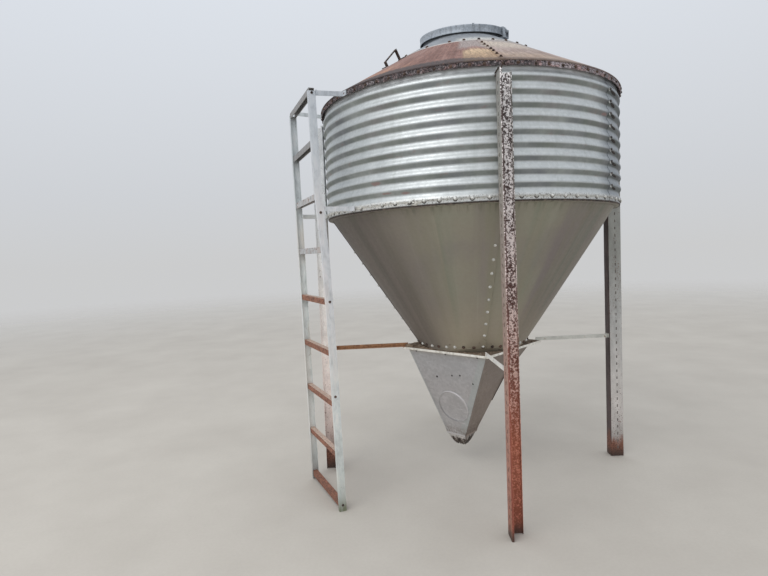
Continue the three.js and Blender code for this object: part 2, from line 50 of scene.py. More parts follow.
# ------------------------------------------------------------------ camera: the photograph's own
CAM_POS = (-0.574 + AX, -3.4893, 1.4194)
PITCH_DOWN, ROLL = 0.0605, 0.0415
cam_data = bpy.data.cameras.new("camera")
cam_data.sensor_fit = "HORIZONTAL"
cam_data.sensor_width = 36.0
cam_data.lens = 24.595
cam_data.clip_end = 200
cam = bpy.data.objects.new("camera", cam_data)
SCENE.collection.objects.link(cam)
d = Vector((0, math.cos(PITCH_DOWN), -math.sin(PITCH_DOWN)))
r0 = Vector((1, 0, 0))
u0 = Vector((0, math.sin(PITCH_DOWN), math.cos(PITCH_DOWN)))
cr = r0 * math.cos(ROLL) - u0 * math.sin(ROLL)
cu = r0 * math.sin(ROLL) + u0 * math.cos(ROLL)
cam.matrix_world = Matrix(
    (
        (cr.x, cu.x, -d.x, CAM_POS[0]),
        (cr.y, cu.y, -d.y, CAM_POS[1]),
        (cr.z, cu.z, -d.z, CAM_POS[2]),
        (0, 0, 0, 1),
    )
)
SCENE.camera = cam
SCENE.view_settings.view_transform = "Standard"
SCENE.view_settings.look = "None"


# ------------------------------------------------------------------ numbers that repeat, from a hash
def rnd(*key):
    x = 0
    for k in key:
        x = (x * 1103515245 + int(k * 7919) + 12345) & 0xFFFFFFFF
        x ^= x >> 13
        x = (x * 2654435761) & 0xFFFFFFFF
        x ^= x >> 16
    return x / 0xFFFFFFFF


def vnoise(p, seed=0):
    """Smooth noise, 0 to 1, at points p (..., 3)."""
    p = np.asarray(p, float)
    i = np.floor(p).astype(np.int64)
    f = p - i
    u = f * f * (3 - 2 * f)

    def h(dx, dy, dz):
        n = (
            (i[..., 0] + dx) * 374761393
            + (i[..., 1] + dy) * 668265263
            + (i[..., 2] + dz) * 1440662683
            + seed * 1274126177
        ) & 0xFFFFFFFF
        n = ((n ^ (n >> 13)) * 1274126177) & 0xFFFFFFFF
        n = n ^ (n >> 16)
        return (n & 0xFFFF) / 65535.0

    def lerp(a, b, t):
        return a + (b - a) * t

    x00 = lerp(h(0, 0, 0), h(1, 0, 0), u[..., 0])
    x10 = lerp(h(0, 1, 0), h(1, 1, 0), u[..., 0])
    x01 = lerp(h(0, 0, 1), h(1, 0, 1), u[..., 0])
    x11 = lerp(h(0, 1, 1), h(1, 1, 1), u[..., 0])
    return lerp(lerp(x00, x10, u[..., 1]), lerp(x01, x11, u[..., 1]), u[..., 2])


def fbm(p, seed=0, octaves=3):
    p = np.asarray(p, float)
    total, amp, norm = 0.0, 1.0, 0.0
    for o in range(octaves):
        total = total + amp * vnoise(p * (2**o), seed + o * 17)
        norm += amp
        amp *= 0.5
    return total / norm


def smooth(x, a, b):
    t = np.clip((x - a) / (b - a), 0, 1)
    return t * t * (3 - 2 * t)


# ------------------------------------------------------------------ mesh building
class Geo:
    def __init__(self):
        self.v, self.f, self.a, self.n = [], [], {}, 0

    def add(self, v, faces, mat=0, **attrs):
        v = np.asarray(v, float).reshape(-1, 3)
        for arr in faces:
            arr = np.asarray(arr, int)
            if arr.size:
                self.f.append((arr + self.n, mat))
        for k, a in attrs.items():
            self.a.setdefault(k, []).append((self.n, np.asarray(a, float)))
        self.v.append(v)
        self.n += len(v)
        return self


def piece(name, geo, mats, replaces=(), body="silo", angle=32):
    v = np.vstack(geo.v)
    v[:, 0] += AX
    faces, mi = [], []
    for arr, m in geo.f:
        faces += arr.tolist()
        mi += [m] * len(arr)
    me = bpy.data.meshes.new(name)
    me.from_pydata(v.tolist(), [], faces)
    for m in mats:
        me.materials.append(m)
    me.polygons.foreach_set("material_index", mi)
    for k, chunks in geo.a.items():
        width = 3 if chunks[0][1].ndim == 2 else 1
        full = np.zeros((geo.n, width))
        for start, a in chunks:
            full[start : start + len(a)] = a.reshape(len(a), width)
        layer = me.attributes.new(k, "FLOAT_VECTOR" if width == 3 else "FLOAT", "POINT")
        layer.data.foreach_set("vector" if width == 3 else "value", full.astype(np.float32).ravel())
    me.update()
    me.shade_smooth()
    me.set_sharp_from_angle(angle=R(angle))
    o = bpy.data.objects.new(name, me)
    SCENE.collection.objects.link(o)
    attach(o, body)
    if replaces:
        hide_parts(*replaces)
    return o


def cyl(az, r, z):
    az, r, z = np.broadcast_arrays(np.asarray(az, float), r, z)
    return np.stack([r * np.cos(az), r * np.sin(az), z], -1)


def shell(O, I, wrap=False):
    """A closed sheet between an outer and an inner grid of points (rows go up, columns go round)."""
    n, m, _ = O.shape
    k = n * m
    idx = np.arange(k).reshape(n, m)
    cols = np.arange(m if wrap else m - 1)
    nxt = (cols + 1) % m
    A, B, C, D = idx[:-1][:, cols], idx[:-1][:, nxt], idx[1:][:, nxt], idx[1:][:, cols]
    quads = [
        np.stack([A, B, C, D], -1).reshape(-1, 4),
        np.stack([A + k, D + k, C + k, B + k], -1).reshape(-1, 4),
    ]
    a, b = idx[0][cols], idx[0][nxt]
    quads.append(np.stack([a + k, b + k, b, a], -1))
    a, b = idx[-1][cols], idx[-1][nxt]
    quads.append(np.stack([a, b, b + k, a + k], -1))
    if not wrap:
        a, b = idx[:-1, 0], idx[1:, 0]
        quads.append(np.stack([a, b, b + k, a + k], -1))
        a, b = idx[:-1, -1], idx[1:, -1]
        quads.append(np.stack([a, a + k, b + k, b], -1))
    return np.concatenate([O.reshape(-1, 3), I.reshape(-1, 3)]), quads


def lathe(profile, n, a0=0.0, a1=360.0):
    """Closed profile of (r, z), counter-clockwise with r to the right and z up, turned about the axis."""
    P = np.asarray(profile, float)
    full = abs(a1 - a0 - 360) < 1e-9
    az = np.radians(a0 + (a1 - a0) * np.arange(n if full else n + 1) / n)
    v = cyl(az[:, None], P[None, :, 0], P[None, :, 1])
    m = len(P)
    cols = np.arange(len(az) if full else len(az) - 1)
    nxt = (cols + 1) % len(az)
    j = np.arange(m)
    k = (j + 1) % m
    A = cols[:, None] * m + j
    B = nxt[:, None] * m + j
    C = nxt[:, None] * m + k
    D = cols[:, None] * m + k
    return v.reshape(-1, 3), [np.stack([A, B, C, D], -1).reshape(-1, 4)]


def head(rh, h, rw, hw, hexagonal=False, seg=12, dome=0.45):
    """Bolt head on a washer, standing on its local XY plane."""
    prof = [(rw, -0.002), (rw, hw * 0.7), (rw * 0.93, hw), (rh * 1.02, hw)]
    if hexagonal:
        prof += [(rh, hw + h * 0.82), (rh * 0.86, hw + h)]
    else:
        prof += [(rh, hw + h * dome), (rh * 0.82, hw + h * 0.78), (rh * 0.45, hw + h * 0.96)]
    a = np.arange(seg) * 2 * math.pi / seg
    v, q = [], []
    for i, (r, z) in enumerate(prof):
        rr = np.full(seg, r)
        if hexagonal and i >= 3:
            rr[1::2] *= math.cos(math.pi / 6)
        v.append(np.stack([rr * np.cos(a), rr * np.sin(a), np.full(seg, z)], -1))
    v = np.concatenate(v)
    j = np.arange(seg)
    k = (j + 1) % seg
    for i in range(len(prof) - 1):
        q.append(np.stack([i * seg + j, i * seg + k, (i + 1) * seg + k, (i + 1) * seg + j], -1))
    top = len(v)
    bottom = top + 1
    v = np.vstack([v, [[0, 0, prof[-1][1] + (0 if hexagonal else h * 0.04)]], [[0, 0, -0.002]]])
    last = (len(prof) - 1) * seg
    t = [np.stack([last + j, last + k, np.full(seg, top)], -1), np.stack([k, j, np.full(seg, bottom)], -1)]
    return v, np.concatenate(q), np.concatenate(t)


def scatter(template, places, mat=0, geo=None, seed=0, tilt=0.0):
    """Copies of a template at (position, normal) pairs, as one mesh."""
    v, q, t = template
    geo = geo or Geo()
    V, Q, T = [], [], []
    for i, (p, n) in enumerate(places):
        n = np.asarray(n, float)
        if tilt:
            n = n / np.linalg.norm(n) + tilt * (np.array([rnd(i, seed, k) for k in (1, 2, 3)]) - 0.5)
        n = n / np.linalg.norm(n)
        ref = np.array([0, 0, 1.0]) if abs(n[2]) < 0.9 else np.array([1.0, 0, 0])
        x = np.cross(ref, n)
        x /= np.linalg.norm(x)
        y = np.cross(n, x)
        s = rnd(i, seed, 9) * math.pi
        x, y = x * math.cos(s) + y * math.sin(s), y * math.cos(s) - x * math.sin(s)
        V.append(np.asarray(p) + v[:, :1] * x + v[:, 1:2] * y + v[:, 2:] * n)
        Q.append(q + i * len(v))
        T.append(t + i * len(v))
    geo.add(np.concatenate(V), [np.concatenate(Q), np.concatenate(T)], mat)
    return geo


def prism(outline, z0, z1, rows=1):
    """Solid of a closed outline (counter-clockwise) between two heights, with rows of faces up its side."""
    o = np.asarray(outline, float)
    m = len(o)
    zs = np.linspace(z0, z1, rows + 1)
    v = np.concatenate([np.column_stack([o, np.full(m, z)]) for z in zs])
    j = np.arange(m)
    k = (j + 1) % m
    q = [np.stack([i * m + j, i * m + k, (i + 1) * m + k, (i + 1) * m + j], -1) for i in range(rows)]
    return v, [np.concatenate(q), j[::-1][None, :], (rows * m + j)[None, :]]


def rounded(points, radii, steps=4):
    """Rounds the corners of a polyline outline."""
    P = [np.asarray(p, float) for p in points]
    out = []
    n = len(P)
    for i in range(n):
        r = radii[i] if hasattr(radii, "__len__") else radii
        a, b, c = P[i - 1], P[i], P[(i + 1) % n]
        if r <= 0:
            out.append(b)
            continue
        u, w = (a - b), (c - b)
        lu, lw = np.linalg.norm(u), np.linalg.norm(w)
        u, w = u / lu, w / lw
        ang = math.acos(max(-1, min(1, float(u @ w))))
        t = min(r / math.tan(ang / 2), lu * 0.49, lw * 0.49)
        rr = t * math.tan(ang / 2)
        centre = b + (u + w) / np.linalg.norm(u + w) * (rr / math.sin(ang / 2))
        s, e = b + u * t - centre, b + w * t - centre
        a0 = math.atan2(s[1], s[0])
        da = math.atan2(e[1], e[0]) - a0
        while da > math.pi:
            da -= 2 * math.pi
        while da < -math.pi:
            da += 2 * math.pi
        for j in range(steps + 1):
            t2 = a0 + da * j / steps
            out.append(centre + rr * np.array([math.cos(t2), math.sin(t2)]))
    return np.array(out)


def turn(v, az):
    """Points in a frame whose +X points outward at an azimuth, taken to the silo's frame."""
    c, s = math.cos(R(az)), math.sin(R(az))
    v = np.asarray(v, float).reshape(-1, 3)
    return np.column_stack([v[:, 0] * c - v[:, 1] * s, v[:, 0] * s + v[:, 1] * c, v[:, 2]])


# ------------------------------------------------------------------ materials
class Mat:
    def __init__(self, name):
        self.m = bpy.data.materials.new(name)
        self.m.use_nodes = True
        self.nt = self.m.node_tree
        self.nt.nodes.clear()
        out = self.node("ShaderNodeOutputMaterial")
        self.p = self.node("ShaderNodeBsdfPrincipled")
        self.nt.links.new(self.p.outputs[0], out.inputs[0])
        self.obj = self.node("ShaderNodeTexCoord").outputs["Object"]

    def node(self, kind, **props):
        n = self.nt.nodes.new(kind)
        for k, v in props.items():
            setattr(n, k, v)
        return n

    def put(self, socket, value):
        if isinstance(value, bpy.types.NodeSocket):
            self.nt.links.new(value, socket)
        elif hasattr(value, "__len__") and len(value) == 3 and socket.type == "RGBA":
            socket.default_value = (*value, 1)
        else:
            socket.default_value = value

    def attr(self, name, out="Fac"):
        return self.node("ShaderNodeAttribute", attribute_name=name).outputs[out]

    def scaled(self, v, s, loc=(0, 0, 0)):
        n = self.node("ShaderNodeMapping")
        self.put(n.inputs["Vector"], v)
        n.inputs["Scale"].default_value = s
        n.inputs["Location"].default_value = loc
        return n.outputs[0]

    def noise(self, v, scale, detail=3.0, rough=0.55, dist=0.0, out=0):
        n = self.node("ShaderNodeTexNoise")
        self.put(n.inputs["Vector"], v)
        n.inputs["Scale"].default_value = scale
        n.inputs["Detail"].default_value = detail
        n.inputs["Roughness"].default_value = rough
        n.inputs["Distortion"].default_value = dist
        return n.outputs[out]

    def voronoi(self, v, scale, out="Distance", feature="F1", rand=1.0):
        n = self.node("ShaderNodeTexVoronoi", feature=feature)
        self.put(n.inputs["Vector"], v)
        n.inputs["Scale"].default_value = scale
        n.inputs["Randomness"].default_value = rand
        return n.outputs[out]

    def ramp(self, f, stops, interp="LINEAR"):
        n = self.node("ShaderNodeValToRGB")
        n.color_ramp.interpolation = interp
        e = n.color_ramp.elements
        while len(e) < len(stops):
            e.new(0.5)
        for s, (pos, c) in zip(e, stops):
            s.position = pos
            s.color = (*c, 1) if hasattr(c, "__len__") else (c, c, c, 1)
        self.put(n.inputs[0], f)
        return n.outputs[0]

    def math(self, op, a, b=0.0, c=None, clamp=False):
        n = self.node("ShaderNodeMath", operation=op, use_clamp=clamp)
        self.put(n.inputs[0], a)
        self.put(n.inputs[1], b)
        if c is not None:
            self.put(n.inputs[2], c)
        return n.outputs[0]

    def mapr(self, f, a, b, c=0.0, d=1.0, kind="SMOOTHSTEP"):
        n = self.node("ShaderNodeMapRange", interpolation_type=kind)
        self.put(n.inputs["Value"], f)
        for k, v in (("From Min", a), ("From Max", b), ("To Min", c), ("To Max", d)):
            self.put(n.inputs[k], v)
        return n.outputs[0]

    def mix(self, f, a, b, mode="MIX"):
        n = self.node("ShaderNodeMix", data_type="RGBA", blend_type=mode)
        self.put(n.inputs[0], f)
        self.put(n.inputs[6], a)
        self.put(n.inputs[7], b)
        return n.outputs[2]

    def xyz(self, v):
        n = self.node("ShaderNodeSeparateXYZ")
        self.put(n.inputs[0], v)
        return n.outputs

    def dist(self, v, point):
        n = self.node("ShaderNodeVectorMath", operation="DISTANCE")
        self.put(n.inputs[0], v)
        n.inputs[1].default_value = point
        return n.outputs["Value"]

    def facing(self):
        """Parts of the surface's own normal."""
        g = self.node("ShaderNodeNewGeometry")
        return self.xyz(g.outputs["Normal"])

    def up(self):
        return self.facing()[2]

    def azimuth(self):
        """Azimuth about the silo's axis, in degrees."""
        x, y, _ = self.xyz(self.obj)
        a = self.math("ARCTAN2", y, self.math("SUBTRACT", x, AX))
        return self.math("MULTIPLY", a, 180 / math.pi)

    def mottle(self, col, f, lo, hi, a=0.32, b=0.68):
        """Multiplies a colour by a grain between lo and hi."""
        return self.mix(1.0, col, self.mapr(f, a, b, lo, hi, "LINEAR"), "MULTIPLY")

    def within(self, v, a, b, soft):
        """1 between a and b, falling off over soft to either side."""
        return self.math("MULTIPLY", self.mapr(v, a - soft, a + soft * 0.2), self.mapr(v, b + soft, b - soft * 0.2))

    def bump(self, h, strength, distance, normal=None):
        n = self.node("ShaderNodeBump")
        n.inputs["Strength"].default_value = strength
        n.inputs["Distance"].default_value = distance
        self.put(n.inputs["Height"], h)
        if normal is not None:
            self.put(n.inputs["Normal"], normal)
        return n.outputs[0]

    def finish(self, color, rough, metal, normal=None):
        self.put(self.p.inputs["Base Color"], color)
        self.put(self.p.inputs["Roughness"], rough)
        self.put(self.p.inputs["Metallic"], metal)
        if normal is not None:
            self.put(self.p.inputs["Normal"], normal)
        return self.m


def wall_material():
    m = Mat("galvanised_wall")
    c = m.attr("cyl", "Vector")
    u, z, _ = m.xyz(c)
    under = m.attr("under")
    spangle = m.voronoi(m.obj, 75, "Color")
    sp = m.xyz(spangle)[0]
    cloud = m.noise(m.obj, 3.2, 4, 0.6)
    fine = m.noise(m.obj, 38, 4, 0.65)
    streak = m.noise(m.scaled(c, (26, 1.1, 1)), 1.0, 4, 0.6)
    thin = m.noise(m.scaled(c, (110, 1.6, 1)), 1.0, 2, 0.5)
    col = m.ramp(cloud, [(0.3, (0.49, 0.52, 0.525)), (0.5, (0.58, 0.61, 0.615)), (0.72, (0.65, 0.678, 0.683))])
    col = m.mix(0.16, col, m.ramp(sp, [(0.0, (0.45, 0.48, 0.49)), (1.0, (0.85, 0.87, 0.88))]))
    col = m.mix(m.mapr(streak, 0.5, 0.75, 0, 0.4), col, (0.42, 0.45, 0.43))
    col = m.mix(m.mapr(thin, 0.6, 0.8, 0, 0.22), col, (0.80, 0.82, 0.83))
    # the undersides of the corrugations are darkened toward a dark grey-green tint: partly real dirt, partly painted
    # shade under each crest
    under_dirt_and_shade = m.math("MULTIPLY", m.mapr(under, 0.05, 0.75), m.mapr(m.noise(m.scaled(c, (5, 9, 1)), 1.0, 4), 0.2, 0.75, 0.55, 1.0))
    tint = m.ramp(m.noise(m.scaled(c, (3.1, 2.0, 1)), 1.0, 3), [(0.35, (0.121, 0.133, 0.147)), (0.55, (0.136, 0.158, 0.132)), (0.7, (0.158, 0.143, 0.138))])
    col = m.mix(m.math("MULTIPLY", under_dirt_and_shade, 0.86), col, tint)
    # painted light: the plain band just under the rim is lightened against the shade of the rim above it
    col = m.mix(m.mapr(z, 2.281, 2.300, 0, 0.75), col, (0.88, 0.90, 0.905))
    # painted shade: the sheet is darkened round the seam on the right
    right_seam_shade = m.within(m.azimuth(), -44.5, -22.0, 8.5)
    col = m.mix(right_seam_shade, col, m.mix(1.0, col, (0.52, 0.535, 0.565), "MULTIPLY"))
    # sealant smeared along the foot, and rust runs below a few rim bolts
    foot = m.mapr(z, 1.706, 1.694)
    left = m.mapr(m.azimuth(), -112.0, -124.0, 0.45, 1.0)
    blot = m.mapr(m.noise(m.obj, 70, 5, 0.7), 0.42, 0.6, 0.45, 0.95)
    col = m.mix(m.math("MULTIPLY", foot, m.math("MULTIPLY", blot, left)), col, (0.80, 0.785, 0.74))
    speck = m.mapr(m.noise(m.scaled(m.obj, (1, 1, 1), (3, 1, 7)), 125, 3, 0.7), 0.53, 0.62)
    col = m.mix(m.math("MULTIPLY", foot, m.math("MULTIPLY", speck, 0.7)), col, (0.13, 0.105, 0.085))
    # painted shadow: a thin dark line along the bottom edge of the sheet
    edge = m.mapr(z, 1.6715, 1.6690)
    col = m.mix(m.math("MULTIPLY", edge, 0.8), col, (0.09, 0.08, 0.07))
    runs = None
    for azd, half, low, amount in (
        (-92.95, 0.0050, 2.258, 1.0), (-92.4, 0.003, 2.275, 0.6), (-98.1, 0.003, 2.277, 0.35), (-108.0, 0.0025, 2.27, 0.4),
        (-83.0, 0.003, 2.272, 0.35), (-122.0, 0.003, 2.262, 0.4), (-68.6, 0.003, 2.27, 0.3), (-54.0, 0.004, 2.25, 0.35),
        (-137.0, 0.004, 2.25, 0.35), (20.0, 0.004, 2.24, 0.6), (88.0, 0.004, 2.25, 0.5), (141.0, 0.004, 2.23, 0.6),
    ):
        u_mid = R(azd) * 0.917
        off = m.math("ABSOLUTE", m.math("SUBTRACT", m.math("ADD", u, m.math("MULTIPLY", m.math("SUBTRACT", fine, 0.5), 0.006)), u_mid))
        run = m.math("MULTIPLY", m.mapr(off, half * 1.8, half * 0.4), m.mapr(z, low, low + 0.07, 0, amount))
        runs = run if runs is None else m.math("MAXIMUM", runs, run)
    col = m.mix(runs, col, (0.085, 0.06, 0.05))
    stain = m.math("MULTIPLY", m.mapr(m.noise(m.scaled(c, (9, 22, 1)), 1.0, 4, 0.6), 0.6, 0.74, 0, 0.45), m.mapr(under, 0.0, 0.5, 0.25, 1.0))
    for a_, z_, w_, h_ in ((-130.4, 1.800, 0.034, 0.010), (-118.9, 1.734, 0.026, 0.007), (-126.0, 1.742, 0.03, 0.006), (-47.0, 2.12, 0.03, 0.008)):
        q = m.dist(m.scaled(m.obj, (1 / w_, 1 / w_, 1 / h_)), ((AX + 0.92 * math.cos(R(a_))) / w_, 0.92 * math.sin(R(a_)) / w_, z_ / h_))
        q = m.math("ADD", q, m.math("MULTIPLY", m.math("SUBTRACT", fine, 0.5), 1.6))
        stain = m.math("MAXIMUM", stain, m.mapr(q, 1.3, 0.5, 0, 0.75))
    col = m.mix(stain, col, (0.33, 0.215, 0.20))
    rough = m.math("ADD", m.mapr(fine, 0.3, 0.7, 0.41, 0.54), m.math("MULTIPLY", under_dirt_and_shade, 0.25))
    metal = m.math("SUBTRACT", 0.72, m.math("MULTIPLY", m.math("MAXIMUM", under_dirt_and_shade, runs), 0.5))
    n = m.bump(m.noise(m.obj, 14, 3, 0.5), 0.25, 0.0016)
    n = m.bump(fine, 0.18, 0.0006, n)
    return m.finish(col, rough, metal, n)


def rust_colour(m, v, scale, light=1.0):
    a = m.noise(v, scale, 5, 0.68)
    b = m.noise(m.scaled(v, (1, 1, 1), (5.3, 2.1, 9.7)), scale * 3.1, 4, 0.7)
    dark = m.ramp(a, [(0.3, (0.05 * light, 0.028 * light, 0.022 * light)), (0.5, (0.15 * light, 0.070 * light, 0.048 * light)), (0.68, (0.28 * light, 0.125 * light, 0.075 * light))])
    return m.mix(m.mapr(b, 0.5, 0.75, 0, 0.7), dark, (0.36 * light, 0.20 * light, 0.13 * light))


def rim_material():
    m = Mat("rusted_rim")
    az = m.azimuth()
    pepper = m.noise(m.obj, 150, 2, 0.75)
    grit = m.noise(m.scaled(m.obj, (1, 1, 1), (4, 1, 9)), 62, 4, 0.75)
    mixed = m.math("ADD", m.math("MULTIPLY", pepper, 0.62), m.math("MULTIPLY", grit, 0.38))
    right = m.mapr(az, -84.0, -72.0)
    dark = m.ramp(mixed, [(0.40, (0.014, 0.012, 0.014)), (0.50, (0.065, 0.056, 0.060)), (0.58, (0.23, 0.215, 0.228)), (0.66, (0.50, 0.48, 0.495))])
    pale = m.ramp(mixed, [(0.38, (0.030, 0.025, 0.028)), (0.47, (0.160, 0.140, 0.150)), (0.55, (0.43, 0.40, 0.425)), (0.64, (0.80, 0.765, 0.80))])
    col = m.mix(m.math("MULTIPLY", right, m.mapr(m.noise(m.obj, 5, 3), 0.35, 0.6, 0.45, 1.0)), dark, pale)
    rusty = m.mapr(m.noise(m.obj, 24, 4, 0.65), 0.46, 0.62, 0.1, 0.7)
    col = m.mix(rusty, col, m.mix(1.0, col, (1.25, 0.80, 0.72), "MULTIPLY"))
    top = m.math("MULTIPLY", m.mapr(m.xyz(m.obj)[2], 2.326, 2.331), m.mapr(az, -88.0, -100.0, 0.15, 0.40))
    col = m.mix(top, col, (0.24, 0.150, 0.130))
    n = m.bump(m.noise(m.obj, 45, 4, 0.6), 0.6, 0.002)
    n = m.bump(pepper, 0.5, 0.0008, n)
    return m.finish(col, m.mapr(grit, 0.3, 0.7, 0.62, 0.9), 0.1, n)


def roof_material():
    m = Mat("rusted_roof")
    c = m.attr("cyl", "Vector")
    u, r, _ = m.xyz(c)
    az = m.azimuth()
    big = m.noise(m.obj, 3.4, 4, 0.6)
    streak = m.noise(m.scaled(c, (34, 2.2, 1)), 1.0, 5, 0.65)
    fine = m.noise(m.obj, 60, 5, 0.7)
    grain = m.noise(m.scaled(c, (135, 22, 1)), 1.0, 3, 0.75)
    f = m.math("ADD", m.math("MULTIPLY", big, 0.5), m.math("MULTIPLY", streak, 0.5))
    brick = m.ramp(f, [(0.36, (0.160, 0.080, 0.066)), (0.47, (0.235, 0.126, 0.105)), (0.56, (0.295, 0.172, 0.146)), (0.68, (0.36, 0.245, 0.215))])
    tan = m.ramp(f, [(0.36, (0.270, 0.200, 0.170)), (0.47, (0.385, 0.305, 0.270)), (0.58, (0.490, 0.415, 0.390)), (0.70, (0.62, 0.56, 0.54))])
    col = m.mix(m.mapr(az, -92.0, -84.0, 0, 0.85), brick, tan)
    orange = m.math("MULTIPLY", m.mapr(az, -112.0, -128.0), m.math("MULTIPLY", m.mapr(r, 0.66, 0.84), m.mapr(streak, 0.44, 0.58, 0.1, 0.75)))
    col = m.mix(orange, col, (0.43, 0.225, 0.135))
    rose = m.math("MULTIPLY", m.mapr(az, -66.0, -50.0), m.mapr(r, 0.60, 0.80, 0.3, 0.8))
    col = m.mix(rose, col, (0.42, 0.305, 0.29))
    # greyish where zinc is left: in a band below the flange, and palest just right of the seam
    w = m.math("MULTIPLY", m.math("SUBTRACT", streak, 0.5), 0.22)
    rw = m.math("ADD", r, w)
    grey = m.math("MULTIPLY", m.within(az, -100.0, -60.0, 3.0), m.mapr(rw, 0.70, 0.60, 0, 0.75))
    col = m.mix(grey, col, m.ramp(fine, [(0.35, (0.30, 0.265, 0.255)), (0.65, (0.46, 0.425, 0.415))]))
    cream = m.math("MULTIPLY", m.within(az, -88.0, -66.0, 3.0), m.math("MULTIPLY", m.mapr(rw, 0.48, 0.54), m.mapr(rw, 0.72, 0.60, 0, 0.62)))
    col = m.mix(cream, col, m.ramp(fine, [(0.35, (0.52, 0.43, 0.34)), (0.65, (0.70, 0.62, 0.53))]))
    # fresh ochre rust left of the seam, with a sharp edge where a wetter streak ends
    ochre = m.math("MULTIPLY", m.within(az, -98.9, -87.6, 0.9), m.mapr(rw, 0.67, 0.745))
    ochre = m.math("MAXIMUM", ochre, m.math("MULTIPLY", m.within(az, -86.0, -60.0, 3.0), m.mapr(rw, 0.76, 0.86, 0, 0.50)))
    for a_, b_ in ((20.0, 44.0), (128.0, 150.0)):
        ochre = m.math("MAXIMUM", ochre, m.math("MULTIPLY", m.within(az, a_, b_, 4.0), m.mapr(rw, 0.60, 0.80)))
    gold = m.mix(m.mapr(rw, 0.72, 0.86), (0.575, 0.425, 0.275), (0.385, 0.270, 0.175))
    col = m.mix(m.math("MULTIPLY", ochre, m.mapr(streak, 0.3, 0.6, 0.7, 0.97)), col, m.mottle(m.mottle(gold, fine, 0.84, 1.14), streak, 0.78, 1.20))
    # soot and dirt along the eave, widest at the left
    side = m.mapr(az, -104.0, -88.0)
    start = m.mapr(side, 0, 1, 0.846, 0.892, "LINEAR")
    near_rim = m.mapr(m.math("SUBTRACT", m.math("ADD", r, m.math("MULTIPLY", m.math("SUBTRACT", grain, 0.5), 0.11)), start), 0.0, 0.026)
    near_rim = m.math("MULTIPLY", near_rim, m.math("MULTIPLY", m.mapr(side, 0, 1, 0.96, 0.72, "LINEAR"), m.mapr(grain, 0.32, 0.48, 0.42, 1.0)))
    col = m.mix(near_rim, col, m.mix(side, (0.060, 0.048, 0.050), (0.105, 0.078, 0.070)))
    col = m.mottle(col, grain, 0.66, 1.30)
    rough = m.mapr(fine, 0.3, 0.7, 0.6, 0.88)
    n = m.bump(m.noise(m.obj, 26, 4, 0.6), 0.35, 0.002)
    n = m.bump(fine, 0.4, 0.0007, n)
    return m.finish(col, rough, 0.08, n)


def lid_material():
    m = Mat("weathered_lid")
    c = m.obj
    fine = m.noise(c, 90, 4, 0.7)
    cloud = m.noise(c, 7, 4, 0.6)
    drip = m.noise(m.scaled(c, (46, 46, 4)), 1.0, 4, 0.65)
    ring = m.noise(m.scaled(c, (4, 4, 120)), 1.0, 3, 0.6)
    col = m.ramp(cloud, [(0.3, (0.265, 0.300, 0.342)), (0.52, (0.360, 0.400, 0.448)), (0.72, (0.460, 0.500, 0.545))])
    col = m.mix(m.mapr(drip, 0.5, 0.68, 0, 0.45), col, (0.12, 0.13, 0.145))
    col = m.mix(m.mapr(ring, 0.52, 0.64, 0, 0.35), col, (0.36, 0.385, 0.41))
    col = m.mottle(col, fine, 0.72, 1.28)
    n = m.bump(m.noise(c, 30, 3), 0.25, 0.0012)
    n = m.bump(fine, 0.3, 0.0005, n)
    return m.finish(col, m.mapr(fine, 0.3, 0.7, 0.45, 0.65), 0.45, n)


def collar_material():
    m = Mat("galvanised_collar")
    c = m.obj
    fine = m.noise(c, 80, 4, 0.65)
    drip = m.noise(m.scaled(c, (42, 42, 4)), 1.0, 4, 0.65)
    col = m.ramp(m.noise(c, 9, 4, 0.6), [(0.3, (0.155, 0.176, 0.200)), (0.7, (0.250, 0.276, 0.305))])
    col = m.mix(m.mapr(drip, 0.52, 0.7, 0, 0.6), col, (0.12, 0.12, 0.13))
    n = m.bump(fine, 0.35, 0.0006)
    return m.finish(col, m.mapr(fine, 0.3, 0.7, 0.42, 0.62), 0.5, n)


def flange_material():
    m = Mat("collar_flange")
    x, y, z = m.xyz(m.obj)
    az = m.azimuth()
    ln = m.node("ShaderNodeVectorMath", operation="LENGTH")
    m.put(ln.inputs[0], m.scaled(m.obj, (1, 1, 0), (-AX, 0, 0)))
    r = ln.outputs["Value"]
    fine = m.noise(m.obj, 70, 5, 0.7)
    patch = m.noise(m.scaled(m.obj, (1, 1, 0.4)), 16, 5, 0.7)
    col = m.ramp(m.noise(m.obj, 8, 4, 0.6), [(0.3, (0.215, 0.238, 0.265)), (0.7, (0.305, 0.328, 0.358))])
    col = m.mix(m.mapr(patch, 0.52, 0.66, 0, 0.5), col, (0.40, 0.41, 0.42))
    col = m.mottle(col, fine, 0.75, 1.25)
    chalk = m.math("MULTIPLY", m.within(az, -101.0, -76.0, 5.0), m.math("MULTIPLY", m.mapr(r, 0.36, 0.44), m.mapr(fine, 0.38, 0.56, 0.25, 0.95)))
    col = m.mix(chalk, col, (0.66, 0.66, 0.63))
    rust = m.math("MULTIPLY", m.within(az, -90.0, -40.0, 6.0), m.math("MULTIPLY", m.mapr(r, 0.40, 0.46), m.mapr(patch, 0.45, 0.58, 0, 0.7)))
    col = m.mix(rust, col, (0.40, 0.335, 0.28))
    col = m.mix(m.mapr(r, 0.4605, 0.4645, 0, 0.9), col, (0.66, 0.62, 0.59))
    return m.finish(col, m.mapr(fine, 0.3, 0.7, 0.45, 0.7), 0.3, m.bump(fine, 0.5, 0.0008))


